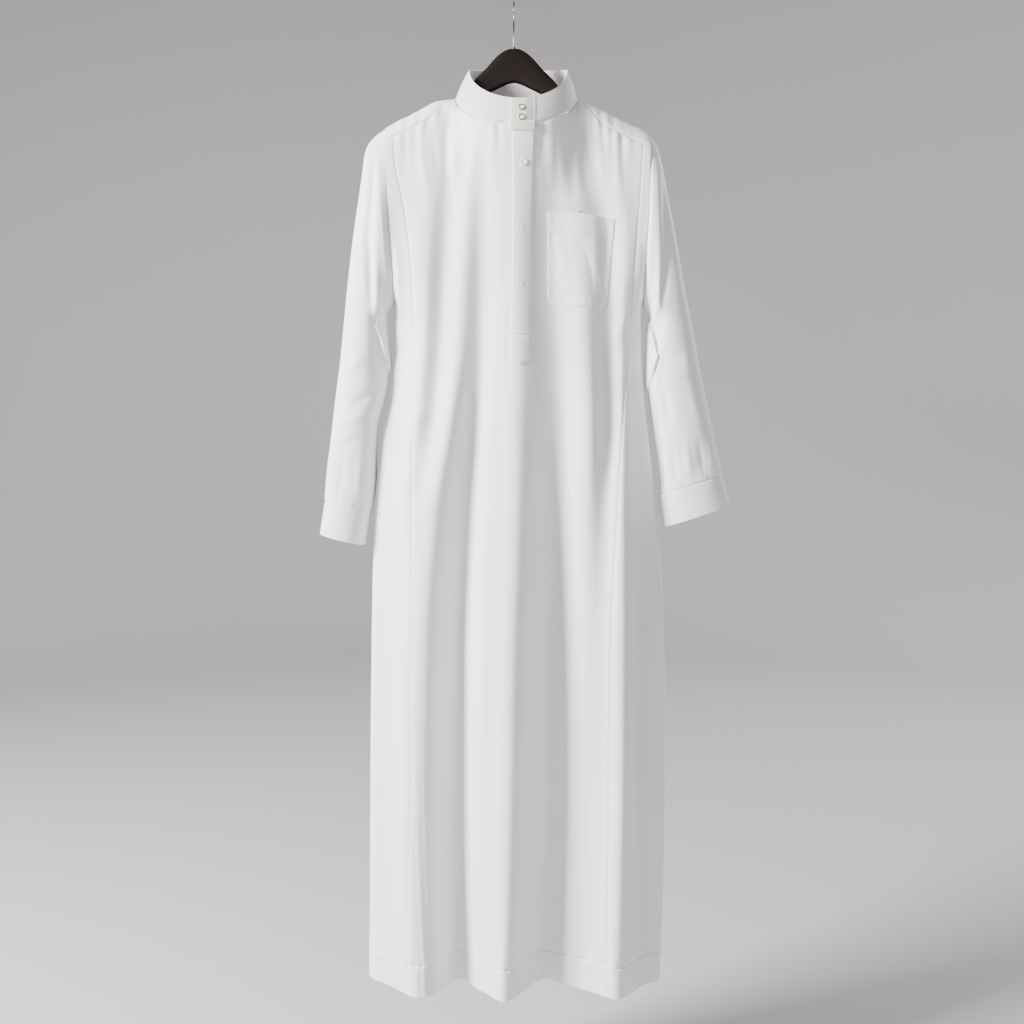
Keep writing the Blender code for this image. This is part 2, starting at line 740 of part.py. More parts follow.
def seated_grid(tree, places, gap):
    """Grid of points that lies a gap in front of the pieces below.

    Where a face would still dip into what it lies on, its corners rise.
    """
    grid = []
    for line in places:
        row = []
        for x, z in line:
            below = front_y(tree, x, z)
            row.append(Vector((x, (below if below is not None else row[-1].y) - gap, z)))
        grid.append(row)
    samples = ((0.5, 0.0), (0.0, 0.5), (0.5, 0.5), (1.0, 0.5), (0.5, 1.0),
               (0.25, 0.25), (0.75, 0.75), (0.25, 0.75), (0.75, 0.25))
    for _ in range(4):
        rises = [[0.0] * len(row) for row in grid]
        for i in range(len(grid) - 1):
            for j in range(len(grid[0]) - 1):
                corners = [grid[i][j], grid[i][j + 1], grid[i + 1][j + 1], grid[i + 1][j]]
                worst = 0.0
                for u, v in samples:
                    place = (corners[0].lerp(corners[1], u)).lerp(corners[3].lerp(corners[2], u), v)
                    below = front_y(tree, place.x, place.z)
                    if below is not None:
                        worst = max(worst, place.y - (below - gap * 0.9))
                for a, b in ((i, j), (i, j + 1), (i + 1, j + 1), (i + 1, j)):
                    rises[a][b] = max(rises[a][b], worst)
        for i, row in enumerate(grid):
            for j, point in enumerate(row):
                point.y -= rises[i][j]
    return grid


def raised_patch(name, tree, places, thickness, look, gap=SEAM):
    """Cloth patch that lies on the pieces below; places is a grid of (x, z)."""
    grid = seated_grid(tree, places, gap)
    facing = Vector((0.0, -1.0, 0.0))
    rows = [[point + facing * thickness for point in row] for row in grid]
    normals = [[facing for _ in row] for row in grid]
    return wall(name, rows, normals, thickness, look)


def placket(look):
    rows, columns = 22, 4
    places = []
    for i in range(rows + 1):
        z = PLACKET_TOP_Z + (PLACKET_END_Z - PLACKET_TOP_Z) * i / rows
        left = along(PLACKET_DOWN, PLACKET_LEFT, -z / MM) * MM
        right = along(PLACKET_DOWN, PLACKET_RIGHT, -z / MM) * MM
        line = []
        for j in range(columns + 1):
            part = j / columns
            point = PLACKET_POINT * (1.0 - abs(2.0 * part - 1.0)) * (i == rows)
            line.append((left + (right - left) * part, z - point))
        places.append(line)
    raised_patch("placket", front_tree(["front_panel"]), places, PLACKET_WALL, look)


POCKET_LEFT_X = 53 * MM
POCKET_TOP_WIDE = 105 * MM
POCKET_LOW_WIDE = 93 * MM
POCKET_TOP_LEFT_Z = -342 * MM
POCKET_TOP_RIGHT_Z = -351 * MM
POCKET_LOW_LEFT_Z = -487 * MM
POCKET_LOW_RIGHT_Z = -492 * MM
POCKET_CHAMFER = 9 * MM


def pocket_place(across, down):
    """Place on the pocket: both shares run 0 to 1 from its upper left."""
    wide = POCKET_TOP_WIDE + (POCKET_LOW_WIDE - POCKET_TOP_WIDE) * down
    top = POCKET_TOP_LEFT_Z + (POCKET_TOP_RIGHT_Z - POCKET_TOP_LEFT_Z) * across ** 2
    low = POCKET_LOW_LEFT_Z + (POCKET_LOW_RIGHT_Z - POCKET_LOW_LEFT_Z) * across
    corner = max(abs(2.0 * across - 1.0) - 0.84, 0.0) / 0.16
    low += POCKET_CHAMFER * corner
    return POCKET_LEFT_X + wide * across, top + (low - top) * down


def pocket(look):
    rows, columns = 10, 10
    shares = [0.0, 0.04, 0.16, 0.28, 0.4, 0.5, 0.6, 0.72, 0.84, 0.96, 1.0]
    places = [[pocket_place(shares[j], i / rows) for j in range(columns + 1)]
              for i in range(rows + 1)]
    raised_patch("pocket", front_tree(["front_panel"]), places, CLOTH, look)


TAB_LEFT_X = -6 * MM
TAB_RIGHT_X = 33 * MM
TAB_LOW_Z = -222 * MM
TAB_WALL = 2.0 * MM


def collar_tab(look):
    rows, columns = 12, 6
    places = []
    for i in range(rows + 1):
        line = []
        for j in range(columns + 1):
            x = TAB_LEFT_X + (TAB_RIGHT_X - TAB_LEFT_X) * j / columns
            turn = math.asin((x - NECK_X) / NECK_HALF)
            top = collar_point(turn, 1.0).z - 0.8 * MM
            line.append((x, top + (TAB_LOW_Z - top) * i / rows))
        places.append(line)
    tree = front_tree(["collar", "placket", "front_panel"])
    raised_patch("collar_tab", tree, places, TAB_WALL, look, gap=0.5 * MM)


def disc(name, centre, normal, profile, look, sides=16):
    """Turned piece; profile rows are (radius, height) along the normal."""
    across = normal.orthogonal().normalized()
    other = normal.cross(across).normalized()
    points, faces = [], []
    for radius, height in profile:
        for k in range(sides):
            turn = 2.0 * math.pi * k / sides
            points.append(centre + normal * height
                          + (across * math.cos(turn) + other * math.sin(turn)) * radius)
    low = len(points)
    points.append(centre + normal * profile[0][1])
    points.append(centre + normal * profile[-1][1])
    for i in range(len(profile) - 1):
        for k in range(sides):
            a, b = i * sides + k, i * sides + (k + 1) % sides
            faces.append((a, b, b + sides))
            faces.append((a, b + sides, a + sides))
    last = (len(profile) - 1) * sides
    for k in range(sides):
        faces.append((low, (k + 1) % sides, k))
        faces.append((low + 1, last + k, last + (k + 1) % sides))
    return add_object(name, points, faces, look)


SNAP_X = 12 * MM
SNAP_UPPER_Z = -186 * MM
SNAP_LOWER_Z = -202 * MM
SNAP_PROFILE = [(5.0, 0.0), (5.6, 0.4), (5.2, 1.0), (4.2, 1.1), (3.4, 0.6), (1.5, 0.7)]
BUTTON_X = 15 * MM
BUTTON_Z = -269 * MM
BUTTON_PROFILE = [(5.0, 0.0), (5.7, 0.6), (5.6, 1.4), (4.9, 1.8), (3.8, 1.3), (2.0, 1.2)]


def facing_at(tree, x, z, step=3 * MM):
    """Direction that a small round piece faces on what it lies on."""
    across = Vector((2 * step, front_y(tree, x + step, z) - front_y(tree, x - step, z), 0.0))
    up = Vector((0.0, front_y(tree, x, z + step) - front_y(tree, x, z - step), 2 * step))
    return across.cross(up).normalized()


def fastenings(metal, shell):
    tab = front_tree(["collar_tab"])
    for name, z in (("snap_upper", SNAP_UPPER_Z), ("snap_lower", SNAP_LOWER_Z)):
        normal = facing_at(tab, SNAP_X, z)
        seat = Vector((SNAP_X, front_y(tab, SNAP_X, z), z)) + normal * 0.4 * MM
        disc(name, seat, normal, [(r * MM, h * MM) for r, h in SNAP_PROFILE], metal)
    strip = front_tree(["placket"])
    normal = facing_at(strip, BUTTON_X, BUTTON_Z)
    seat = Vector((BUTTON_X, front_y(strip, BUTTON_X, BUTTON_Z), BUTTON_Z)) + normal * 0.4 * MM
    disc("button", seat, normal, [(r * MM, h * MM) for r, h in BUTTON_PROFILE], shell)


# Hanger and hook

HANGER_HALF_THICK = 7 * MM
HUMP_Z = -71.5 * MM
HANGER_ROOM = 1.6 * MM      # under the yoke's flat faces
Arm = namedtuple("Arm", "across top low")
ARM = [
    Arm(0, 71.5, 126), Arm(8, 72.5, 128), Arm(18, 77, 132), Arm(30, 87, 138),
    Arm(45, 104, 145), Arm(62, 121, 153), Arm(76, 138, 162), Arm(87, 158, 171),
    Arm(97, 163, 176), Arm(118, 168, 184), Arm(140, 176, 193), Arm(160, 0, 202),
    Arm(180, 0, 211), Arm(192, 0, 217),
]


def hanger_top(x, arm):
    """Top of an arm, just under the yoke where the cloth rests on it."""
    if arm.top:
        return -arm.top * MM
    return shoulder_z(x) - CLOTH - HANGER_ROOM


def hanger(look):
    sections = [(-arm.across, arm) for arm in reversed(ARM[1:])] + [(arm.across, arm) for arm in ARM]
    rows = []
    for across, arm in sections:
        x = across * MM
        top, low = hanger_top(x, arm), -arm.low * MM
        thick = HANGER_HALF_THICK
        outline = [(0.0, top), (0.5 * thick, top - 0.7 * MM), (thick, top - 4 * MM),
                   (thick, low + 3 * MM), (0.6 * thick, low), (-0.6 * thick, low),
                   (-thick, low + 3 * MM), (-thick, top - 4 * MM), (-0.5 * thick, top - 0.7 * MM)]
        rows.append([Vector((x, y, z)) for y, z in outline])
    points = [point for row in rows for point in row]
    width = len(rows[0])
    faces = []
    for i in range(len(rows) - 1):
        for j in range(width):
            a, b = i * width + j, i * width + (j + 1) % width
            faces.append((a, b, b + width))
            faces.append((a, b + width, a + width))
    for row, turned in ((0, False), (len(rows) - 1, True)):
        middle = len(points)
        points.append(sum(rows[row], Vector()) / width)
        for j in range(width):
            a, b = row * width + j, row * width + (j + 1) % width
            faces.append((middle, a, b) if turned else (middle, b, a))
    add_object("hanger", points, faces, look)


WIRE = 1.4 * MM
LOOP_INNER = 16.5 * MM


def hook(look):
    """Hook of round wire in the YZ plane, with its stem in the hanger's top."""
    radius = LOOP_INNER + WIRE
    centre = Vector((0.0, 0.0, -LOOP_INNER))
    path = [Vector((0.0, 0.0, HUMP_Z + 0.3 * MM)), Vector((0.0, 0.0, -60 * MM)),
            Vector((0.0, 0.0, -50 * MM)), Vector((0.0, 1.2 * MM, -44 * MM)),
            Vector((0.0, 5.5 * MM, -38 * MM))]
    for k in range(22):
        turn = math.radians(-50 + 245 * k / 21)
        path.append(centre + Vector((0.0, math.cos(turn), math.sin(turn))) * radius)
    sides = 8
    points, faces = [], []
    for k, place in enumerate(path):
        ahead = path[min(k + 1, len(path) - 1)] - path[max(k - 1, 0)]
        other = ahead.normalized().cross(Vector((1.0, 0.0, 0.0))).normalized()
        for j in range(sides):
            turn = 2.0 * math.pi * j / sides
            points.append(place + (Vector((1.0, 0.0, 0.0)) * math.cos(turn)
                                   + other * math.sin(turn)) * WIRE)
    for k in range(len(path) - 1):
        for j in range(sides):
            a, b = k * sides + j, k * sides + (j + 1) % sides
            faces.append((a, b, b + sides))
            faces.append((a, b + sides, a + sides))
    last = (len(path) - 1) * sides
    points += [path[0], path[-1]]
    for j in range(sides):
        faces.append((len(points) - 2, (j + 1) % sides, j))
        faces.append((len(points) - 1, last + j, last + (j + 1) % sides))
    add_object("hook", points, faces, look)


def main():
    for item in list(bpy.data.objects):
        bpy.data.objects.remove(item, do_unlink=True)
    cloth = material("white_cloth", (0.86, 0.86, 0.87), 0.55)
    stiff = material("stiff_white_cloth", (0.83, 0.82, 0.82), 0.5)
    dark = material("dark_hanger", (0.02, 0.01, 0.01), 0.3)
    steel = material("hook_steel", (0.45, 0.45, 0.46), 0.25, 1.0)
    ring = material("snap_metal", (0.62, 0.58, 0.5), 0.35, 1.0)
    shell = material("button_white", (0.85, 0.85, 0.83), 0.2)
    shares = body_panels(cloth)
    yoke(shares, cloth)
    sleeves(cloth, stiff)
    collar(stiff)
    placket(cloth)
    pocket(cloth)
    collar_tab(stiff)
    fastenings(ring, shell)
    hanger(dark)
    hook(steel)


main()
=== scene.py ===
# White thobe robe on its dark hanger: the finished look of every piece.
# Units are metres, +Z up, +Y away from the front, origin at the hook's inner top.
import math
from collections import namedtuple

import bpy
import numpy as np
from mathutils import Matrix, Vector


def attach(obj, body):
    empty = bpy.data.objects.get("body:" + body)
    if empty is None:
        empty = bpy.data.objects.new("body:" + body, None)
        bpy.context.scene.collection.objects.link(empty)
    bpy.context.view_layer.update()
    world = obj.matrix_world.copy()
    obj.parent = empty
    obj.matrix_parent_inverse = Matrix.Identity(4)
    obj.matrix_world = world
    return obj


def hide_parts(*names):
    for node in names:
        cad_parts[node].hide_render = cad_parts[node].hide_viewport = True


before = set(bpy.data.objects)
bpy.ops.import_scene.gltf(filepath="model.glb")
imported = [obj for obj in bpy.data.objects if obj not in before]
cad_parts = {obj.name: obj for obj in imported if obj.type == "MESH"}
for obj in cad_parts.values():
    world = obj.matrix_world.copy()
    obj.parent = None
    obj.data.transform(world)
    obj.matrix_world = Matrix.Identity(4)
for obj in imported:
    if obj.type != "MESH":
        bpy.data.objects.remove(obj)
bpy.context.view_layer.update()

MM = 0.001

# Sizes shared with the solids
NECK_X = 4 * MM
NECK_HALF = 97 * MM
NECK_FRONT = 66 * MM
NECK_BACK = 60 * MM
NECK_Z = -152 * MM
NECK_DROP = 57 * MM
NECK_RISE = 22 * MM
NECK_PULL = 40 * MM
NECK_SIDE_REACH = 24 * MM
NECK_PINCH = 8 * MM
SHOULDER_ROUND = 45 * MM
YOKE_FRONT = 27 * MM
YOKE_BACK_Z = -246 * MM
LEFT_TIP_Z = -201 * MM
RIGHT_TIP_Z = -214 * MM
ARMPIT_Z = -480 * MM
ARMHOLE_HALF = 34 * MM
ARMHOLE_FULL_Z = -225 * MM
HEM_LEFT_Z = -1548 * MM
HEM_RIGHT_Z = -1556 * MM
EDGE_POWER = 0.8
FOLD_GAIN = 0.3             # deeper folds than the solid's, fading toward the hem
BACK_CALM = 0.75            # the finished back hangs flatter than its solid
FOLD_SOFT = 12 * MM         # how far the folds' crests are rounded sideways
RIM_SHARE = 0.05            # where the armhole's round edge turns into the panel

# Sizes of the finished cloth
CLOTH = 0.9 * MM
STIFF_CLOTH = 1.6 * MM
HEM_BAND = 46 * MM          # height of the turned-up hem
WAVES = 10                  # summed for the slow unevenness of a piece
SHARP_EDGE = math.radians(48)
STITCH = 2.3 * MM           # length of a stitch
STITCH_STEP = 3.1 * MM
STITCH_HALF = 0.22 * MM
STITCH_TOP = 0.28 * MM
STITCH_LOW = 0.2 * MM
FORWARD = np.array((0.0, -1.0, 0.0))

# Body outline by depth below the hook, in mm: edges, panel seams and how
# far the front and back stand out at the sides of the neck
Ring = namedtuple("Ring", "down left right seam_left seam_right front back")
RINGS = [
    Ring(200, -205, 218, -193, 206, 25, 22),
    Ring(260, -201, 214, -187, 202, 30, 28),
    Ring(340, -197, 211, -171, 196, 36, 34),
    Ring(460, -190, 205, -159, 186, 41, 40),
    Ring(540, -191, 204, -158, 180, 44, 44),
    Ring(620, -196, 208, -158, 174, 46, 48),
    Ring(700, -213, 216, -158, 168, 48, 52),
    Ring(800, -222, 226, -158, 161, 50, 56),
    Ring(1000, -227, 240, -158, 150, 50, 60),
    Ring(1200, -229, 242, -158, 147, 50, 64),
    Ring(1400, -230, 239, -163, 145, 50, 66),
    Ring(1560, -231, 233, -166, 143, 50, 68),
]

# Folds of the front by depth below the hook, in mm: where each crest or
# trough runs, and its relief as a share of the fold size
FOLD_DOWN = [230, 400, 540, 660, 820, 1020, 1240, 1560]
Fold = namedtuple("Fold", "name across relief")
FRONT_FOLDS = [
    Fold("left dip", [-190, -182, -176, -182, -197, -198, -199, -200],
         [0, -0.3, -0.5, -0.3, -0.1, -0.1, 0.0, 0.2]),
    Fold("crest 1", [-112, -134, -139, -149, -170, -168, -166, -150],
         [0.9, 0.9, 0.9, 0.8, 0.6, 0.7, 0.8, 1.0]),
    Fold("trough 1", [-90, -107, -115, -125, -150, -155, -152, -138],
         [-0.5, -0.6, -0.6, -0.1, 0.7, 0.8, 0.8, 0.9]),
    Fold("crest 2", [-68, -78, -87, -100, -125, -138, -140, -125],
         [0.9, 0.9, 0.9, 1.0, 0.9, 0.8, 0.7, 0.6]),
    Fold("trough 2", [-50, -47, -50, -60, -72, -82, -86, -88],
         [-0.9, -0.9, -0.9, -1.0, -0.9, -0.9, -1.0, -1.0]),
    Fold("rise", [-34, -30, -28, -33, -42, -52, -54, -52],
         [0.3, 0.3, 0.3, 0.3, 0.4, 0.5, 0.3, 0.0]),
    Fold("crest 3", [0, 4, 4, 4, 3, -3, -8, -17],
         [1.0, 1.0, 1.0, 1.0, 1.0, 1.0, 1.0, 1.0]),
    Fold("trough 3", [58, 56, 64, 68, 66, 66, 64, 47],
         [-0.7, -1.0, -0.9, -0.9, -0.9, -0.9, -1.0, -1.1]),
    Fold("crest 4", [92, 106, 114, 120, 118, 116, 114, 95],
         [0.8, 0.9, 0.9, 0.8, 0.4, 0.1, -0.1, -0.3]),
    Fold("trough 4", [114, 150, 152, 152, 144, 136, 134, 125],
         [-0.9, -0.8, -0.8, -0.6, 0.1, 0.3, 0.2, 0.2]),
    Fold("crest 5", [150, 176, 170, 170, 168, 168, 166, 156],
         [0.5, 0.8, 0.9, 0.9, 1.0, 1.0, 1.0, 0.9]),
    Fold("trough 5", [196, 194, 190, 194, 208, 218, 216, 214],
         [0, -0.2, -0.3, -0.4, -0.6, -0.7, -0.6, -0.2]),
]
BACK_FOLDS = [
    Fold("back crest 1", [-150, -150, -150, -152, -158, -160, -160, -158],
         [0.3, 0.5, 0.6, 0.7, 0.8, 0.9, 0.9, 0.9]),
    Fold("back trough 1", [-95, -98, -100, -102, -104, -106, -108, -106],
         [-0.4, -0.6, -0.7, -0.8, -0.8, -0.9, -0.9, -0.9]),
    Fold("back crest 2", [-48, -50, -50, -50, -48, -46, -44, -42],
         [0.4, 0.6, 0.7, 0.8, 0.9, 1.0, 1.0, 1.0]),
    Fold("back trough 2", [2, 4, 6, 8, 10, 14, 16, 16],
         [-0.3, -0.6, -0.8, -0.9, -0.9, -0.9, -1.0, -1.0]),
    Fold("back crest 3", [58, 58, 60, 62, 68, 74, 78, 80],
         [0.4, 0.6, 0.8, 0.9, 1.0, 1.0, 1.0, 1.0]),
    Fold("back trough 3", [110, 112, 114, 116, 122, 128, 132, 134],
         [-0.4, -0.5, -0.6, -0.7, -0.8, -0.8, -0.9, -0.9]),
    Fold("back crest 4", [168, 168, 168, 170, 178, 186, 188, 186],
         [0.3, 0.4, 0.5, 0.6, 0.7, 0.8, 0.8, 0.8]),
]
FOLD_SIZE = [2.5, 6, 8, 12, 17, 23, 29, 36]
BACK_FOLD_SIZE = [1.5, 4, 6, 9, 14, 19, 24, 30]

# Ridge of the shoulders by distance from the middle, in mm
SHOULDER_ACROSS = [-237, -216, -189, -157, -118, -93, 101, 120, 138, 186, 210, 235]
SHOULDER_DOWN = [238, 208, 190, 174, 155, 152, 152, 160, 170, 194, 206, 235]

# Front and back stand-out of the middle by distance below the neck's side
# points, in mm
MIDDLE_DOWN = [57, 110, 190, 310, 470, 650, 850]
MIDDLE_FRONT = [66, 58, 50, 46, 46, 48, 50]


# Numbers worked out over whole grids

def smoothstep(low, high, value):
    share = np.clip((np.asarray(value, float) - low) / (high - low), 0.0, 1.0)
    return share * share * (3.0 - 2.0 * share)


def along(places, values, place):
    """Smooth curve through the values, without overshoot, for an array."""
    places, values = np.asarray(places, float), np.asarray(values, float)
    steps = np.diff(values) / np.diff(places)
    slopes = np.empty(len(values))
    slopes[0], slopes[-1] = steps[0], steps[-1]
    before, after = steps[:-1], steps[1:]
    same = before * after > 0.0
    total = np.where(same, before + after, 1.0)
    slopes[1:-1] = np.where(same, 2.0 * before * after / total, 0.0)
    place = np.clip(np.asarray(place, float), places[0], places[-1])
    index = np.clip(np.searchsorted(places, place, side="right") - 1, 0, len(places) - 2)
    span = places[index + 1] - places[index]
    t = (place - places[index]) / span
    return ((1 + 2 * t) * (1 - t) ** 2 * values[index]
            + t * (1 - t) ** 2 * span * slopes[index]
            + t * t * (3 - 2 * t) * values[index + 1]
            + t * t * (t - 1) * span * slopes[index + 1])


def column(table, name):
    return [getattr(row, name) for row in table]


def ring_value(name, z):
    return along(column(RINGS, "down"), column(RINGS, name), -np.asarray(z) / MM) * MM


def armhole_tip(x):
    return np.where(np.asarray(x) < NECK_X, LEFT_TIP_Z, RIGHT_TIP_Z)


def armhole_depth(x, z):
    tip = armhole_tip(x)
    turn = np.arccos(np.clip(1.0 - 2.0 * (tip - z) / (tip - ARMPIT_Z), -1.0, 1.0))
    return ARMHOLE_HALF * np.sin(turn) ** 0.7


def shoulder_z(x):
    return -along(SHOULDER_ACROSS, SHOULDER_DOWN, np.asarray(x) / MM) * MM


def fold_relief(folds, sizes, x, z):
    down = -z / MM
    across = [along(FOLD_DOWN, fold.across, down) for fold in folds]
    relief = [along(FOLD_DOWN, fold.relief, down) for fold in folds]
    none = np.zeros_like(down)
    across = [across[0] - 45] + across + [across[-1] + 45]
    relief = [none] + relief + [none]
    total = none.copy()
    place = x / MM
    for k in range(len(across) - 1):
        share = (place - across[k]) / (across[k + 1] - across[k])
        inside = (share >= 0.0) & (share < 1.0)
        soft = share * share * (3.0 - 2.0 * share)
        total = np.where(inside, relief[k] + (relief[k + 1] - relief[k]) * soft, total)
    return total * along(FOLD_DOWN, sizes, down) * MM


def across_share(x, z):
    left, right = ring_value("left", z), ring_value("right", z)
    return np.clip((x - (left + right) / 2.0) / ((right - left) / 2.0), -1.0, 1.0)


def plain_out(side, x, z):
    """How far the cloth stands out at a place, before the neck seam's pull."""
    ridge = shoulder_z(x)
    share = np.clip((ridge - z) / SHOULDER_ROUND, 0.0, 1.0)
    rounding = np.sqrt(1.0 - (1.0 - share) ** 2)
    depth = ring_value("back" if side > 0 else "front", z)
    if side < 0:
        middle = along(MIDDLE_DOWN, MIDDLE_FRONT, (NECK_Z - z) / MM) * MM
        depth = middle + (depth - middle) * smoothstep(30 * MM, 120 * MM, np.abs(x - NECK_X))
    depth = depth * rounding
    rim = armhole_depth(x, z)
    depth = np.where(z < ARMHOLE_FULL_Z, np.maximum(depth, rim + 1.0 * MM), depth)
    soft = ARMHOLE_HALF * smoothstep(ARMPIT_Z - 70 * MM, ARMPIT_Z + 60 * MM, z)
    soft = np.where(z > ARMPIT_Z + 100 * MM, rim, soft)
    inset = smoothstep(0.0, RIM_SHARE, 1.0 - np.abs(across_share(x, z)))
    edge = rim + (soft - rim) * inset
    fullness = (1.0 - across_share(x, z) ** 2) ** (EDGE_POWER / 2.0)
    fullness = fullness + (1.0 - fullness) * smoothstep(-300 * MM, -225 * MM, z)
    folds, sizes = (FRONT_FOLDS, FOLD_SIZE) if side < 0 else (BACK_FOLDS, BACK_FOLD_SIZE)
    calm = smoothstep(0.0, 60 * MM, ridge - z) * np.minimum(fullness * 1.6, 1.0)
    if side > 0:
        sizes = [size * BACK_CALM for size in sizes]
    relief = (fold_relief(folds, sizes, x - FOLD_SOFT, z) + fold_relief(folds, sizes, x + FOLD_SOFT, z)
              + 2.0 * fold_relief(folds, sizes, x, z)) / 4.0
    gain = 1.0 + FOLD_GAIN * smoothstep(-1400 * MM, -900 * MM, z)
    return edge + (depth - edge) * fullness + relief * calm * gain


def neck_pinch(x, z):
    """How much the cloth beside the neck is drawn in to the collar's sides."""
    beyond = np.maximum(np.abs(x - NECK_X) - NECK_HALF, 0.0)
    return NECK_PINCH * np.exp(-beyond / NECK_SIDE_REACH - np.maximum(NECK_Z - z, 0.0) / NECK_PULL)


def body_out(side, x, z):
    """How far the cloth stands out, drawn to the neck seam close to it."""
    x, z = np.broadcast_arrays(np.asarray(x, float), np.asarray(z, float))
    out = plain_out(side, x, z)
    if side > 0:
        return out
    beside = out - np.minimum(neck_pinch(x, z), out)
    away = np.abs(x - NECK_X) / NECK_HALF
    front = np.sqrt(1.0 - np.minimum(away, 1.0) ** 2)
    seam_z = NECK_Z - NECK_DROP * front
    pull = NECK_FRONT * front - plain_out(side, x, seam_z)
    inside = out + pull * np.exp(-np.maximum(seam_z - z, 0.0) / NECK_PULL)
    return np.where(away < 1.0, inside, beside)


def across_x(s, z):
    left, right = ring_value("left", z), ring_value("right", z)
    return (left + right) / 2.0 + (right - left) / 2.0 * np.sin(s * np.pi / 2.0)


def body_share(x, z):
    return np.arcsin(across_share(x, z)) * 2.0 / np.pi


def yoke_front_z(x):
    away = np.abs(x - NECK_X)
    inside = NECK_Z - NECK_DROP * np.sqrt(np.clip(1.0 - (away / NECK_HALF) ** 2, 0.0, 1.0))
    outside = shoulder_z(x) - YOKE_FRONT * smoothstep(NECK_HALF, NECK_HALF + 45 * MM, away)
    return np.where(away < NECK_HALF, inside, outside)


def hem_z(x):
    return HEM_LEFT_Z + (HEM_RIGHT_Z - HEM_LEFT_Z) * (x + 231 * MM) / (464 * MM)


def neck_point(turn):
    x = NECK_X + NECK_HALF * math.sin(turn)
    front = math.cos(turn)
    if front >= 0.0:
        return np.array((x, -NECK_FRONT * front, NECK_Z - NECK_DROP * front))
    return np.array((x, -NECK_BACK * front, NECK_Z - NECK_RISE * front))


# Creases over the main folds. Each row of a crease table holds the x and z of
# its start, those of its end, its half width and its height, in mm

def crease_relief(creases, x, z):
    """Soft ridges, and troughs where the height is negative."""
    total = np.zeros_like(x)
    for x0, z0, x1, z1, half, height in creases:
        start = np.array((x0, z0)) * MM
        run = np.array((x1, z1)) * MM - start
        length = np.hypot(*run)
        part = ((x - start[0]) * run[0] + (z - start[1]) * run[1]) / length ** 2
        aside = ((x - start[0]) * run[1] - (z - start[1]) * run[0]) / length
        inside = np.clip(part, 0.0, 1.0)
        fade = np.sin(np.pi * inside) ** 1.3 * (np.abs(part - inside) < 1e-9)
        total += height * MM * fade * np.exp(-(aside / (half * MM)) ** 2)
    return total


def waviness(x, z, seed, size):
    """Slow unevenness of hanging cloth, longer down than across."""
    rng = np.random.default_rng(seed)
    total = np.zeros_like(x)
    for _ in range(WAVES):
        across = rng.uniform(18, 95)
        down = rng.uniform(1.0, 7.0)
        phase = rng.uniform(0.0, 2 * np.pi)
        total += rng.uniform(0.3, 1.0) * np.sin(across * x + down * z + phase)
    return total / WAVES * size


# Mesh builders

def new_object(name, points, faces, look):
    mesh = bpy.data.meshes.new(name)
    mesh.from_pydata(np.asarray(points, float).tolist(), [], faces)
    mesh.validate()
    mesh.shade_smooth()
    mesh.set_sharp_from_angle(angle=SHARP_EDGE)
    made = bpy.data.objects.new(name, mesh)
    bpy.context.scene.collection.objects.link(made)
    mesh.materials.append(look)
    return made


def grid_normals(grid, outward, closed=False):
    """Unit normals of a grid of points, on the side of outward."""
    if closed:
        across = np.roll(grid, -1, axis=1) - np.roll(grid, 1, axis=1)
    else:
        across = np.gradient(grid, axis=1)
    down = np.gradient(grid, axis=0)
    normals = np.cross(across, down)
    normals /= np.maximum(np.linalg.norm(normals, axis=2, keepdims=True), 1e-12)
    flip = np.sum(normals * outward, axis=2, keepdims=True) < 0.0
    return np.where(flip, -normals, normals)


def round_normals(grid):
    """Outward directions and unit normals of a closed tube of cloth."""
    outward = grid - grid.mean(axis=1, keepdims=True)
    return outward, grid_normals(grid, outward, True)


def band_faces(rows, width, closed=True):
    """Faces between the rows of a grid whose points are numbered row by row."""
    faces = []
    for i in range(rows - 1):
        for j in range(width if closed else width - 1):
            a, b = i * width + j, i * width + (j + 1) % width
            faces.append((a, b, b + width, a + width))
    return faces


def turned_out(points, faces, out):
    """The faces, all turned around if the first doesn't face out."""
    corners = points[list(faces[0])]
    facing = np.cross(corners[1] - corners[0], corners[2] - corners[0])
    return [face[::-1] for face in faces] if np.dot(facing, out) < 0.0 else faces


def shell(name, grid, outward, look, thickness, closed):
    """Thin cloth: outer grid, inner grid and the rims between them."""
    normals = grid_normals(grid, outward, closed)
    rows, width = grid.shape[:2]
    points = np.concatenate([grid.reshape(-1, 3), (grid - normals * thickness).reshape(-1, 3)])
    total = rows * width
    faces = band_faces(rows, width, closed)
    faces += [tuple(k + total for k in face[::-1]) for face in faces]
    spans = width if closed else width - 1
    last = total - width
    edges = [((j + 1) % width, j) for j in range(spans)]
    edges += [(last + j, last + (j + 1) % width) for j in range(spans)]
    if not closed:
        edges += [(k, k + width) for k in range(0, last, width)]
        edges += [(k + width, k) for k in range(width - 1, last, width)]
    faces += [(a, b, total + b, total + a) for a, b in edges]
    return new_object(name, points, turned_out(points, faces, normals[0, 0]), look)


def tube(name, rows, look):
    """Closed skin through rings of points, with flat ends."""
    rows = np.asarray(rows, float)
    count, sides = rows.shape[:2]
    last = (count - 1) * sides
    faces = band_faces(count, sides)
    faces += [tuple(reversed(range(sides))), tuple(range(last, last + sides))]
    points = rows.reshape(-1, 3)
    faces = turned_out(points, faces, points[0] - rows[0].mean(axis=0))
    return new_object(name, points, faces, look)


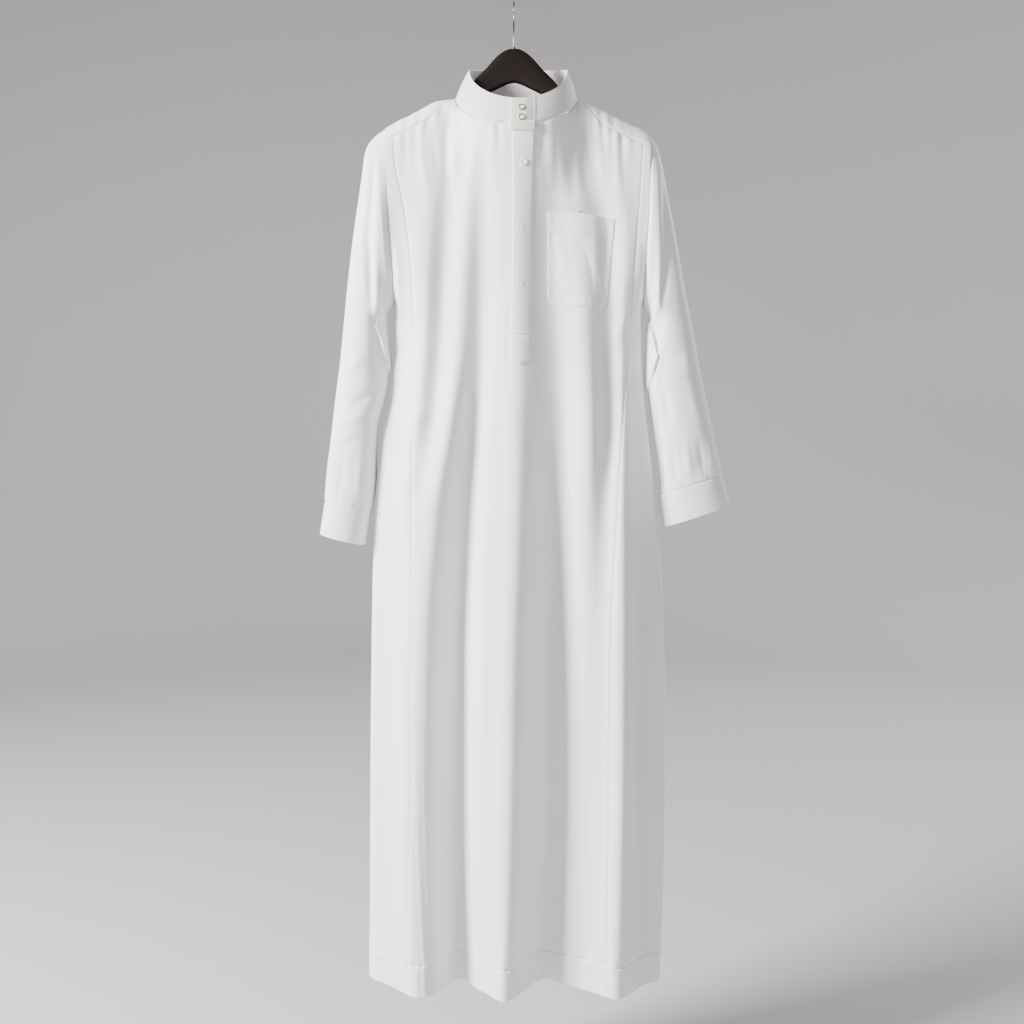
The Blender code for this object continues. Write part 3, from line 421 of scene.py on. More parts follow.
def turned(name, centre, normal, profile, look, sides=40):
    """Round piece turned about its normal; profile rows are radius and height, in mm."""
    normal = Vector(normal).normalized()
    across = normal.orthogonal().normalized()
    turn = 2 * np.pi * np.arange(sides) / sides
    spokes = np.outer(np.cos(turn), across) + np.outer(np.sin(turn), normal.cross(across))
    rows = [centre + (np.array(normal) * height + spokes * radius) * MM for radius, height in profile]
    return tube(name, rows, look)


def finish_piece(piece, node=None):
    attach(piece, "root")
    if node:
        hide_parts(node)


def cloth_piece(name, grid, outward, look, thickness=CLOTH, closed=False):
    """Shell of one sewn piece."""
    piece = shell(name + "_cloth", grid, outward, look, thickness, closed)
    finish_piece(piece, name)
    if closed:
        grid = np.concatenate([grid, grid[:, :1]], axis=1)


# Stitched lines, collected while the pieces are made

seam_lines = []


def sew(path, facing=None):
    """Notes a line to be stitched, and how the cloth faces along it."""
    seam_lines.append((path, np.tile(FORWARD, (len(path), 1)) if facing is None else facing))


def sew_round(grid, normals, row):
    sew(*(np.concatenate([part[row], part[row, :1]]) for part in (grid, normals)))


def line_lengths(path):
    return np.concatenate([[0.0], np.cumsum(np.linalg.norm(np.diff(path, axis=0), axis=1))])


def points_at(path, lengths, places):
    return np.stack([np.interp(places, lengths, path[:, k]) for k in range(3)], axis=-1)


def stitches(name, lines, look):
    """Rows of short stitches; each line is its points and their facings."""
    points, faces = [], []
    for path, normals in lines:
        lengths = line_lengths(path)
        for start in np.arange(STITCH_STEP / 2, lengths[-1], STITCH_STEP):
            centre = points_at(path, lengths, start)
            run = points_at(path, lengths, start + 1 * MM) - centre
            normal = points_at(normals, lengths, start)
            if np.linalg.norm(run) < 1e-7:
                continue
            run /= np.linalg.norm(run)
            aside = np.cross(run, normal) * STITCH_HALF
            run = run * (STITCH / 2)
            first = len(points)
            points += [centre - run, centre + run, centre - aside, centre + aside,
                       centre + normal * STITCH_TOP, centre - normal * STITCH_LOW]
            for a, b in ((0, 2), (2, 1), (1, 3), (3, 0)):
                faces.append((first + a, first + b, first + 4))
                faces.append((first + b, first + a, first + 5))
    finish_piece(new_object(name, points, faces, look))


# Materials

def node_material(name, colour, roughness, metallic=0.0):
    made = bpy.data.materials.new(name)
    made.use_nodes = True
    shader = made.node_tree.nodes["Principled BSDF"]
    shader.inputs["Base Color"].default_value = (*colour, 1.0)
    shader.inputs["Roughness"].default_value = roughness
    shader.inputs["Metallic"].default_value = metallic
    return made, made.node_tree, shader


def add(tree, kind, **values):
    node = tree.nodes.new(kind)
    for key, value in values.items():
        if key in node.inputs:
            node.inputs[key].default_value = value
        else:
            setattr(node, key, value)
    return node


def object_place(tree):
    return add(tree, "ShaderNodeTexCoord").outputs["Object"]


def texture(tree, kind, place, **values):
    node = add(tree, kind, **values)
    tree.links.new(place, node.inputs["Vector"])
    return node.outputs["Fac"]


def noise(tree, place, **values):
    return texture(tree, "ShaderNodeTexNoise", place, **values)


def vary_colour(tree, shader, share, low, high, start=0.0, end=1.0):
    ramp = add(tree, "ShaderNodeValToRGB")
    for k, stop, colour in ((0, start, low), (1, end, high)):
        ramp.color_ramp.elements[k].position = stop
        ramp.color_ramp.elements[k].color = (*colour, 1.0)
    tree.links.new(share, ramp.inputs["Fac"])
    tree.links.new(ramp.outputs["Color"], shader.inputs["Base Color"])


def vary_roughness(tree, shader, share, low, high):
    rough = add(tree, "ShaderNodeMapRange", **{"To Min": low, "To Max": high})
    tree.links.new(share, rough.inputs["Value"])
    tree.links.new(rough.outputs["Result"], shader.inputs["Roughness"])


def bump(tree, shader, height, strength, distance):
    node = add(tree, "ShaderNodeBump", Strength=strength, Distance=distance)
    tree.links.new(height, node.inputs["Height"])
    tree.links.new(node.outputs["Normal"], shader.inputs["Normal"])


def cloth_material(name, colour, shade, weave=0.35):
    """Smooth plain-woven cloth with a soft sheen and slight unevenness."""
    made, tree, shader = node_material(name, colour, 0.62)
    place = object_place(tree)
    vary_colour(tree, shader, noise(tree, place, Scale=7.0, Detail=3.0), shade, colour, 0.3, 0.7)
    fine = noise(tree, place, Scale=420.0, Detail=2.0)
    total = fine
    for way in ("X", "Z"):
        threads = texture(tree, "ShaderNodeTexWave", place, Scale=130.0, Distortion=0.6,
                          bands_direction=way)
        both = add(tree, "ShaderNodeMath", operation="ADD")
        tree.links.new(total, both.inputs[0])
        tree.links.new(threads, both.inputs[1])
        total = both.outputs[0]
    bump(tree, shader, total, weave, 0.00008)
    vary_roughness(tree, shader, fine, 0.55, 0.68)
    shader.inputs["Sheen Weight"].default_value = 0.25
    shader.inputs["Sheen Roughness"].default_value = 0.45
    shader.inputs["Specular IOR Level"].default_value = 0.35
    return made


def hanger_material():
    """Dark finish with a faint grain along the arms."""
    made, tree, shader = node_material("hanger_dark", (0.01, 0.005, 0.004), 0.3)
    stretch = add(tree, "ShaderNodeMapping", Scale=(3.0, 30.0, 40.0))
    tree.links.new(object_place(tree), stretch.inputs["Vector"])
    grain = noise(tree, stretch.outputs["Vector"], Scale=9.0, Detail=5.0)
    vary_colour(tree, shader, grain, (0.004, 0.002, 0.002), (0.011, 0.005, 0.004))
    vary_roughness(tree, shader, grain, 0.34, 0.46)
    bump(tree, shader, grain, 0.1, 0.0002)
    shader.inputs["Specular IOR Level"].default_value = 0.3
    return made


def metal_material(name, colour, low, high):
    made, tree, shader = node_material(name, colour, low, 1.0)
    vary_roughness(tree, shader, noise(tree, object_place(tree), Scale=300.0, Detail=4.0), low, high)
    return made


def shell_material():
    """Pale clouded button shell under a thin coat."""
    made, tree, shader = node_material("button_shell", (0.86, 0.86, 0.84), 0.2)
    cloud = noise(tree, object_place(tree), Scale=150.0, Detail=3.0, Distortion=1.5)
    vary_colour(tree, shader, cloud, (0.74, 0.75, 0.76), (0.92, 0.91, 0.89))
    shader.inputs["Coat Weight"].default_value = 0.4
    return made


# Body panels, with the gathers below the yoke, the seams and the hem

SEAM_HALF = 0.05 * MM
PANEL_ROWS = 320
PANEL_LENGTH = 1360 * MM    # that the shares down a panel are taken from
HEM_RIPPLE = 1.6 * MM       # of the small folds along the hem's stitched line
GATHER = 1.7 * MM           # height of the small folds below a seam
BODY_WAVE = 2.2 * MM
FRONT_CREASES = [
    (50, -337, 162, -346, 4, -2.6), (-102, -158, -110, -300, 6, -2.4), (-88, -166, -95, -330, 7, 2.0),
    (-70, -182, -78, -320, 6, -1.7), (-20, -192, -24, -270, 6, -1.3), (46, -190, 42, -280, 5, -2.0),
    (61, -186, 58, -310, 7, 1.8), (85, -172, 94, -350, 9, -2.4), (101, -162, 124, -280, 6, -1.8),
    (-150, -215, -132, -330, 7, 1.6), (-128, -212, -116, -300, 6, -1.3), (-98, -205, -92, -300, 6, 1.2),
    (-60, -215, -62, -290, 6, 1.0), (70, -205, 76, -300, 7, 1.3), (105, -205, 112, -320, 7, -1.4),
    (132, -210, 142, -310, 6, 1.5), (160, -222, 168, -330, 6, 1.2), (-186, -690, -120, -640, 10, 1.6),
    (-190, -760, -140, -700, 9, -1.4), (150, -560, 196, -470, 10, 1.8), (160, -640, 205, -560, 9, -1.5),
]
BACK_CREASES = [
    (-120, -250, -126, -420, 9, 1.8), (-70, -250, -80, -380, 8, -1.4), (-20, -250, -24, -400, 9, 1.5),
    (38, -250, 40, -380, 8, 1.3), (92, -250, 98, -420, 9, -1.6), (140, -252, 150, -400, 9, 1.6),
    (-180, -720, -110, -640, 12, 1.8), (120, -600, 190, -500, 12, -1.7),
]


def seam_share(name, shift):
    def share(z):
        return body_share(ring_value(name, z) + shift, z)
    return share


def edge_share(value):
    def share(z):
        return np.full_like(np.asarray(z, float), value)
    return share


def front_top(x):
    return yoke_front_z(x) - SEAM_HALF


def back_top(x):
    return np.full_like(np.asarray(x, float), YOKE_BACK_Z - SEAM_HALF)


def gathers(x, below, seed):
    """Small folds that run down from a seam and fade out."""
    wave = np.sin(x / (2.6 * MM) + 1.9 * np.sin(x / (27 * MM) + seed))
    wave = wave + 0.7 * np.sin(x / (4.4 * MM) + seed * 1.9)
    strength = 0.55 + 0.45 * np.sin(x / (23 * MM) + seed * 0.7)
    reach = 24 * MM + 14 * MM * np.sin(x / (13 * MM) + seed)
    fade = np.exp(-np.maximum(below, 0.0) / reach) * smoothstep(0.0, 7 * MM, below)
    return GATHER * strength * wave * fade



def seam_dip(away, depth=1.1 * MM, half=1.7 * MM):
    return -depth * np.exp(-(away / half) ** 2)


def seam_puckers(away, down, seed):
    """Short ripples across a sewn line."""
    wave = np.sin(down / (4.3 * MM) + 2.0 * np.sin(down / (37 * MM) + seed))
    return 0.32 * MM * wave * np.exp(-np.abs(away) / (7 * MM))


def hem_detail(x, z):
    """Turned-up hem: its stitched line, fullness and ripples."""
    above = z - hem_z(x)
    line = above - HEM_BAND
    ripples = np.sin(x / (1.6 * MM) + 1.8 * np.sin(x / (17 * MM)))
    ripples = ripples * (0.45 + 0.55 * np.sin(x / (29 * MM) + 0.8)) + 0.8 * np.sin(x / (4.6 * MM))
    ripples = ripples * HEM_RIPPLE * (0.6 + 0.6 * smoothstep(90 * MM, 170 * MM, x))
    reach = np.where(line > 0.0, 10 * MM, 5 * MM)
    band = 0.7 * MM * (1.0 - smoothstep(HEM_BAND - 1.5 * MM, HEM_BAND + 0.5 * MM, above))
    return band + seam_dip(line, 1.3 * MM, 1.8 * MM) + ripples * np.exp(-np.abs(line) / reach)


def body_detail(side, x, z):
    """Relief of a body panel; the gathers fade out beneath the placket."""
    creases = FRONT_CREASES if side < 0 else BACK_CREASES
    top = yoke_front_z(x) if side < 0 else YOKE_BACK_Z
    inset = 1.0 - np.abs(across_share(x, z))
    below = top - z
    beside = 1.0
    if side < 0:
        beside = 1.0 - smoothstep(-18 * MM, -7 * MM, x) * (1.0 - smoothstep(36 * MM, 48 * MM, x))
    total = crease_relief(creases, x, z) + gathers(x, below, 2.0 if side < 0 else 5.0) * beside
    wave = waviness(x, z, 11 if side < 0 else 12, BODY_WAVE)
    total = total + wave * smoothstep(0.0, 60 * MM, below)
    for name, seed in (("seam_left", 1.0), ("seam_right", 4.0)):
        away = x - ring_value(name, z)
        total = total + seam_dip(away) + seam_puckers(away, z, seed)
    total = total + (seam_dip(below, 2.0 * MM, 2.2 * MM) + seam_puckers(below, x, 2.0)) * beside
    return total * smoothstep(0.0, 0.12, inset) + hem_detail(x, z) * smoothstep(0.0, 0.04, inset)


def cloth_out(side, x, z):
    return body_out(side, x, z) + body_detail(side, x, z)


def panel_rows():
    """Shares down a panel, closer at the top seam and at the hem's stitched line."""
    near_top = np.array([0.0, 0.5, 1.0, 1.6, 2.3, 3.1, 4.0, 5.0, 6.2, 7.6, 9.2, 11.0]) * MM
    near_hem = PANEL_LENGTH - HEM_BAND + np.linspace(-6 * MM, 6 * MM, 13)
    upper = np.linspace(14 * MM, near_hem[0] - 3 * MM, PANEL_ROWS - 38)
    lower = np.linspace(near_hem[-1] + 3 * MM, PANEL_LENGTH, 12)
    return np.concatenate([near_top, upper, near_hem, lower]) / PANEL_LENGTH


def panel_points(side, left, right, top, columns):
    parts = np.linspace(0.0, 1.0, columns + 1)
    z = np.full_like(parts, -0.2)
    for _ in range(40):
        s = left(z) + (right(z) - left(z)) * parts
        z = 0.5 * z + 0.5 * top(across_x(s, z))
    low = np.full_like(parts, HEM_LEFT_Z)
    s = left(low) + (right(low) - left(low)) * parts
    heights = z + (hem_z(across_x(s, low)) - z) * panel_rows()[:, None]
    s = left(heights) + (right(heights) - left(heights)) * parts
    x = across_x(s, heights)
    out = np.maximum(cloth_out(side, x, heights), SEAM_HALF)
    return np.stack([x, side * out, heights], axis=2)


def body_panels(look):
    for side, label, top, columns in ((-1, "front", front_top, 140), (1, "back", back_top, 100)):
        panel, left_gore, right_gore = label + "_panel", label + "_gore_left", label + "_gore_right"
        plans = [
            (panel, seam_share("seam_left", SEAM_HALF), seam_share("seam_right", -SEAM_HALF),
             columns, [left_gore, right_gore]),
            (left_gore, edge_share(-1.0), seam_share("seam_left", -SEAM_HALF), 30, [panel]),
            (right_gore, seam_share("seam_right", SEAM_HALF), edge_share(1.0), 36, [panel]),
        ]
        for name, left, right, count, beside in plans:
            grid = panel_points(side, left, right, top, count)
            cloth_piece(name, grid, -side * FORWARD, look)


# Yoke over the shoulders

YOKE_ROWS = 46
NECK_FLARE = 85 * MM        # over which the yoke leaves the neck seam's form


def resampled(line, count):
    lengths = line_lengths(line)
    return points_at(line, lengths, np.linspace(0.0, lengths[-1], count + 1))


def side_points(side, s, z):
    z = np.asarray(z, float)
    x = across_x(s, z)
    return np.stack([x, side * body_out(side, x, z), z], axis=1)


def neck_column(x):
    """Line of the yoke from the back of the neck to its back seam."""
    turn = math.asin(min(max((x - NECK_X) / NECK_HALF, -1.0), 1.0))
    start = neck_point(math.pi - turn)
    z = np.linspace(start[2], YOKE_BACK_Z + SEAM_HALF, 60)
    across = np.full_like(z, x)
    fallen = start[2] - z
    plain = body_out(1, across, z)
    plain = plain - plain[0] * np.exp(-fallen / NECK_PULL)
    beside = 1.0 - abs(x - NECK_X) / NECK_HALF
    gentle = 1.0 - math.exp(-beside / 0.08)
    depth = start[1] * (1.0 - smoothstep(0.0, NECK_FLARE, fallen))
    depth = depth * (gentle + (1.0 - gentle) * np.exp(-fallen / (9 * MM)))
    return np.stack([across, np.hypot(plain, depth), z], axis=1)


def shoulder_column(s):
    """Line of the yoke from its front seam over the ridge to its back seam."""
    ridge = front = -0.2
    for _ in range(20):
        ridge = float(shoulder_z(across_x(s, ridge)))
        front = 0.5 * front + 0.5 * float(yoke_front_z(across_x(s, front)))
    steps = np.linspace(0.0, 1.0, 40)
    turn = math.acos(min(max(1.0 - (ridge - front) / SHOULDER_ROUND, 0.0), 1.0))
    ahead = side_points(-1, s, ridge - SHOULDER_ROUND * (1.0 - np.cos(turn * (1.0 - steps))))
    end = YOKE_BACK_Z + SEAM_HALF
    reach = min(SHOULDER_ROUND, ridge - end)
    behind = side_points(1, s, ridge - reach * (1.0 - np.cos(np.pi / 2.0 * steps)))
    below = side_points(1, s, np.linspace(ridge - reach, end, 20)[1:])
    return np.concatenate([ahead[:-1], behind, below])


def yoke_piece(look):
    columns = []
    for s in np.linspace(-1.0, 1.0, 170):
        x = float(across_x(s, -0.2))
        if abs(x - NECK_X) > NECK_HALF + 0.5 * MM:
            columns.append((x, resampled(shoulder_column(s), YOKE_ROWS)))
    for turn in np.linspace(-math.pi / 2, math.pi / 2, 71):
        x = NECK_X + NECK_HALF * math.sin(turn)
        columns.append((x, resampled(neck_column(x), YOKE_ROWS)))
    columns.sort(key=lambda item: item[0])
    grid = np.stack([points for _, points in columns], axis=1)
    outward = np.zeros_like(grid)
    outward[..., 1] = grid[..., 1]
    outward[..., 2] = 0.02
    normals = grid_normals(grid, outward)
    place = np.linspace(0.0, 1.0, YOKE_ROWS + 1)[:, None]
    length = np.linalg.norm(np.diff(grid, axis=0), axis=2).sum(axis=0)
    x, z = grid[..., 0], grid[..., 2]
    from_front = place * length
    from_back = (1.0 - place) * length
    detail = seam_dip(from_front, 0.6 * MM) + seam_dip(from_back, 0.6 * MM)
    wave = waviness(x, grid[..., 1] * 3 + z, 13, 1.6 * MM)
    detail = detail + wave * np.sin(np.pi * place) ** 0.5
    detail = detail + 0.5 * gathers(x, from_front, 3.0) + 0.5 * gathers(x, from_back, 6.0)
    grid = grid + normals * np.minimum(detail, 1.2 * MM)[..., None]
    cloth_piece("yoke", grid, outward, look)


# Sleeves. Tables are by hand, -1 for the left and 1 for the right. Each row of
# SLEEVE and each cuff end holds a section: x and depth below the hook of its
# outer side, of its inner side, and its half depth, in mm

Section = namedtuple("Section", "outer_x outer_down inner_x inner_down depth")
LEFT_SLEEVE = [
    (-217, 209, -196, 488, 34), (-231, 224, -199, 494, 34), (-237, 239, -201, 500, 34),
    (-243, 283, -202, 512, 34), (-251, 341, -202, 530, 34), (-258, 400, -201, 552, 34),
    (-266, 461, -199, 580, 35), (-272, 518, -200, 606, 36), (-278, 578, -207, 640, 37),
    (-285, 634, -215, 668, 37), (-292, 698, -219, 714, 37), (-299, 758, -221, 770, 36),
    (-301, 794, -227, 811, 36),
]
RIGHT_SLEEVE = [
    (222, 218, 210, 488, 34), (229, 232, 213, 494, 34), (236, 258, 215, 500, 34),
    (243, 293, 216, 510, 34), (250, 331, 215, 525, 34), (262, 400, 213, 548, 34),
    (274, 463, 211, 578, 35), (284, 512, 212, 606, 36), (297, 586, 216, 640, 37),
    (307, 634, 220, 672, 37), (321, 698, 226, 722, 37), (328, 732, 229, 758, 36),
    (332, 752, 231, 784, 36),
]
SLEEVE = {-1: LEFT_SLEEVE, 1: RIGHT_SLEEVE}
CUFF_END = {-1: (-309, 846, -237, 864, 36), 1: (344, 799, 238, 835, 36)}
ROLL_X = {-1: -211 * MM, 1: 224 * MM}
ROLL_OUT = 7 * MM           # how far the roll beside the armhole stands out
ROLL_HALF = 12 * MM
ROLL_INNER_HALF = 30 * MM
HOLLOW = 7 * MM             # depth of the cloth's fall-in below the armpit
# Edge of the fold below the armpit: its depths below the hook and its x, in mm
FLAP_EDGE = {-1: ([498, 517, 577, 611], [-212, -219, -203, -192]),
             1: ([494, 510, 567, 633], [212, 216, 230, 208])}
FLAP_OUT = 6 * MM
FLAP_REACH = 14 * MM
PLEAT = 0.9 * MM            # of the small folds above a cuff
BAND_DOWN = [611, 642, 705, 790]
BAND_X = [222, 230, 234, 237]
BAND_DEPTH = 6 * MM         # of the hollow along the right sleeve's inner side
BAND_WIDE = 13 * MM
SLEEVE_AROUND = 112
SLEEVE_ROWS = 170
CUFF_ROWS = 25
CUFF_LENGTH = 52 * MM
CUFF_LINES = (0.12, 0.88)   # of its stitches, as shares of its length
LEFT_SLEEVE_CREASES = [
    (-219, -250, -229, -400, 5, -3.4), (-230, -340, -222, -520, 6, -4.4),
    (-222, -515, -205, -578, 4, 2.4), (-246, -320, -262, -500, 8, 1.6),
    (-232, -560, -268, -600, 9, 2.2), (-214, -620, -262, -650, 8, -2.2),
    (-216, -655, -272, -668, 8, 2.0), (-226, -690, -284, -712, 7, -1.6),
    (-238, -700, -246, -800, 6, 1.6), (-264, -700, -276, -800, 6, -1.5),
    (-284, -700, -291, -790, 5, 1.3),
]
RIGHT_SLEEVE_CREASES = [
    (236, -270, 240, -420, 5, -3.2), (242, -380, 230, -510, 6, -4.2), (238, -520, 222, -628, 5, 2.6),
    (250, -330, 262, -500, 8, 1.6), (262, -560, 280, -600, 11, 3.0), (270, -590, 300, -700, 10, 1.8),
    (232, -600, 246, -690, 7, -2.4), (226, -680, 262, -720, 8, 2.0), (246, -690, 258, -780, 5, -1.8),
    (266, -690, 280, -770, 6, 2.0), (288, -690, 300, -766, 5, -1.8), (306, -690, 316, -760, 5, 1.6),
]


def armhole_line(hand, turn):
    tip = float(armhole_tip(hand))
    z = tip - (tip - ARMPIT_Z) * (1.0 - np.cos(turn)) / 2.0
    depth = ARMHOLE_HALF * np.abs(np.sin(turn)) ** 0.7
    x = ring_value("left" if hand < 0 else "right", z) + hand * SEAM_HALF * 2.0
    return np.stack([x, -np.copysign(depth, np.sin(turn)), z], axis=1)


def section_points(hand, values, turn):
    section = Section(*values)
    outer = np.array((section.outer_x, -section.outer_down)) * MM
    inner = np.array((section.inner_x, -section.inner_down)) * MM
    middle, reach = (outer + inner) / 2.0, (outer - inner) / 2.0
    x = middle[0] + reach[0] * np.cos(turn)
    z = middle[1] + reach[1] * np.cos(turn)
    depth = section.depth * MM * np.abs(np.sin(turn)) ** 0.8
    inward = (ROLL_X[hand] - x) * hand
    width = np.where(inward > 0.0, ROLL_INNER_HALF, ROLL_HALF)
    roll = np.exp(-(inward / width) ** 2) * np.abs(np.sin(turn)) ** 0.5
    beside_armhole = smoothstep(-515 * MM, -485 * MM, z)
    below_tip = smoothstep(0.0, 160 * MM, armhole_tip(x) - z)
    hollow = HOLLOW * roll * (1.0 - beside_armhole) * smoothstep(-640 * MM, -560 * MM, z)
    depth = depth + ROLL_OUT * roll * beside_armhole * below_tip - hollow
    return np.stack([x, -np.copysign(depth, np.sin(turn)), z], axis=1)


def flap(hand, x, z):
    """Fold of the sleeve below the armpit, with a crisp edge on its far side."""
    downs, edges = FLAP_EDGE[hand]
    inward = (x - np.interp(-z / MM, downs, edges) * MM) * -hand
    part = np.clip((-z / MM - downs[0]) / (downs[-1] - downs[0]), 0.0, 1.0)
    height = FLAP_OUT * np.sin(np.pi * part) ** 0.6 * smoothstep(-1.2 * MM, 1.2 * MM, inward)
    return height * np.exp(-np.maximum(inward, 0.0) / FLAP_REACH)


def sleeve_detail(hand, grid):
    x, z = grid[..., 0], grid[..., 2]
    creases = LEFT_SLEEVE_CREASES if hand < 0 else RIGHT_SLEEVE_CREASES
    total = crease_relief(creases, x, z) + flap(hand, x, z)
    if hand > 0:
        inward = np.interp(-z / MM, BAND_DOWN, BAND_X) * MM - x
        share = smoothstep(-1.5 * MM, 1.5 * MM, inward) * (1.0 - smoothstep(0.0, BAND_WIDE, inward))
        total = total - BAND_DEPTH * share * smoothstep(-610 * MM, -660 * MM, z)
    return total + waviness(x, z + grid[..., 1], 21 if hand < 0 else 22, 2.0 * MM)


def sleeve_piece(hand, label, turn, look):
    """One sleeve with its creases, and the small folds above its cuff."""
    table = SLEEVE[hand]
    rows = [armhole_line(hand, turn)]
    for place in np.linspace(0.02, len(table) - 1, SLEEVE_ROWS):
        values = [float(along(range(len(table)), column, place)) for column in zip(*table)]
        rows.append(section_points(hand, values, turn))
    grid = np.stack(rows)
    outward, normals = round_normals(grid)
    steps = np.linalg.norm(np.diff(grid, axis=0), axis=2)
    lengths = np.concatenate([np.zeros((1, SLEEVE_AROUND)), np.cumsum(steps, axis=0)])
    from_end = lengths[-1] - lengths
    calm = smoothstep(0.0, 25 * MM, lengths) * (0.35 + 0.65 * smoothstep(0.0, 30 * MM, from_end))
    around = turn * 60 * MM
    pleats = np.sin(around / (1.7 * MM) + 1.6 * np.sin(around / (15 * MM) + hand))
    pleats = pleats + 0.8 * np.sin(around / (3.9 * MM) + hand)
    outer_half = 0.45 + 0.55 * np.maximum(np.cos(turn), 0.0)
    pleats = pleats * outer_half * PLEAT * np.exp(-from_end / (15 * MM))
    relief = sleeve_detail(hand, grid) * calm + pleats * smoothstep(0.0, 3 * MM, from_end)
    relief = relief + seam_dip(lengths, 0.9 * MM) + seam_dip(from_end, 1.4 * MM)
    cloth_piece("sleeve_" + label, grid + normals * relief[..., None], outward, look,
                closed=True)


def cuff_piece(hand, label, turn, look):
    down = np.linspace(0.0, 1.0, CUFF_ROWS + 1)[:, None]
    start, end = np.array(SLEEVE[hand][-1]), np.array(CUFF_END[hand])
    grid = np.stack([section_points(hand, start + (end - start) * share, turn) for share in down])
    outward, normals = round_normals(grid)
    wave = waviness(grid[..., 0] * 1.6, grid[..., 2], 31 if hand < 0 else 32, 1.6 * MM)
    relief = wave + 0.3 * MM + seam_dip(down * CUFF_LENGTH, 0.9 * MM)
    for share, dip in zip(CUFF_LINES, (0.25 * MM, 0.3 * MM)):
        relief = relief + seam_dip((down - share) * CUFF_LENGTH, dip, 1 * MM)
    grid = grid + normals * relief[..., None]
    cloth_piece("cuff_" + label, grid, outward, look,
                STIFF_CLOTH, True)
    for share in CUFF_LINES:
        sew_round(grid, normals, int(round(share * CUFF_ROWS)))


def sleeve_pieces(look, stiff_look):
    turn = np.linspace(0.0, 2.0 * np.pi, SLEEVE_AROUND, endpoint=False)
    for hand, label in ((-1, "left"), (1, "right")):
        sleeve_piece(hand, label, turn, look)
        cuff_piece(hand, label, turn, stiff_look)


# Collar band, its overlap, placket, pocket, snaps and button

COLLAR_TOP_X = 7 * MM
COLLAR_TOP_HALF = 78 * MM
COLLAR_TOP_FRONT = 58 * MM
COLLAR_TOP_BACK = 52 * MM
COLLAR_SIDE_Z = -105 * MM
COLLAR_FRONT_DROP = 64 * MM
COLLAR_BACK_RISE = 17 * MM
COLLAR_HEIGHT = 43 * MM
COLLAR_ROWS = 25
COLLAR_LINES = (3.5 * MM, COLLAR_HEIGHT - 4.0 * MM)
PLACKET_WALL = 1.4 * MM
PLACKET_RISE = 0.7 * MM
PLACKET_WIDE = 33 * MM
PLACKET_TALL = 356 * MM
PLACKET_ROWS = 200
# Sides of the placket by depth below the hook, in mm
PLACKET_DOWN = [212, 340, 450, 560]
PLACKET_LEFT = [-3, -2, -3, -5]
PLACKET_RIGHT = [32, 28, 26, 25]
PLACKET_TOP_Z = -212 * MM
PLACKET_END_Z = -573 * MM
PLACKET_POINT = 8 * MM
STITCH_CROSS_Z = -535 * MM
BUTTON_MARKS = [(10.0 * MM, -368 * MM), (10.0 * MM, -454 * MM)]
POCKET_LEFT_X = 53 * MM
POCKET_TOP_WIDE = 105 * MM
POCKET_LOW_WIDE = 93 * MM
POCKET_TOP_LEFT_Z = -342 * MM
POCKET_TOP_RIGHT_Z = -351 * MM
POCKET_LOW_LEFT_Z = -487 * MM
POCKET_LOW_RIGHT_Z = -492 * MM
POCKET_CHAMFER = 9 * MM
POCKET_BAND = 34 * MM
POCKET_RIPPLE = 0.4 * MM    # of the small folds along the pocket seam
POCKET_CREASES = [
    (66, -352, 84, -470, 8, 1.4), (100, -372, 124, -480, 9, -2.4), (126, -345, 132, -470, 8, 1.8),
    (148, -352, 146, -440, 6, -1.5),
]
TAB_LEFT_X = -6 * MM
TAB_RIGHT_X = 33 * MM
TAB_LOW_Z = -222 * MM
TAB_WALL = 2.0 * MM
TAB_TALL = 55 * MM
SNAP_X = 12 * MM
SNAP_UPPER_Z = -186 * MM
SNAP_LOWER_Z = -202 * MM
BUTTON_X = 15 * MM
BUTTON_Z = -269 * MM
HOLE_AWAY = 1.1 * MM
# Profiles of the round pieces: radius and height, in mm
SNAP_RING = [(4.9, -0.6), (5.4, 0.0), (5.6, 0.4), (5.4, 0.8), (5.0, 1.0), (4.5, 1.05),
             (4.0, 0.95), (3.6, 0.7), (3.4, 0.45)]
SNAP_CENTRE = [(3.4, -0.4), (3.4, 0.35), (3.0, 0.5), (2.0, 0.62), (1.0, 0.68), (0.3, 0.7)]
BUTTON_SHAPE = [(5.2, -0.3), (5.5, 0.2), (5.7, 0.8), (5.6, 1.3), (5.3, 1.65), (4.9, 1.8),
                (4.4, 1.75), (3.9, 1.45), (3.4, 1.25), (2.4, 1.2), (0.3, 1.2)]
KNOT = [(0.5, -0.3), (0.5, 0.15), (0.3, 0.25)]


def collar_line(turn, share):
    """Outer side of the band at all turns: share 0 at its seam, 1 at its top."""
    x = NECK_X + NECK_HALF * np.sin(turn)
    front = np.cos(turn)
    ahead = front >= 0.0
    base = np.stack([x, -np.where(ahead, NECK_FRONT, NECK_BACK) * front,
                     NECK_Z - np.where(ahead, NECK_DROP, NECK_RISE) * front], axis=-1)
    top = np.stack([COLLAR_TOP_X + COLLAR_TOP_HALF * np.sin(turn),
                    -np.where(ahead, COLLAR_TOP_FRONT, COLLAR_TOP_BACK) * front,
                    COLLAR_SIDE_Z - np.where(ahead, COLLAR_FRONT_DROP, COLLAR_BACK_RISE) * front],
                   axis=-1)
    out = np.stack([np.sin(turn), -front, np.zeros_like(front)], axis=-1)
    return base + (top - base) * share + out * (1.5 * MM * math.sin(math.pi * share) + 0.25 * MM)


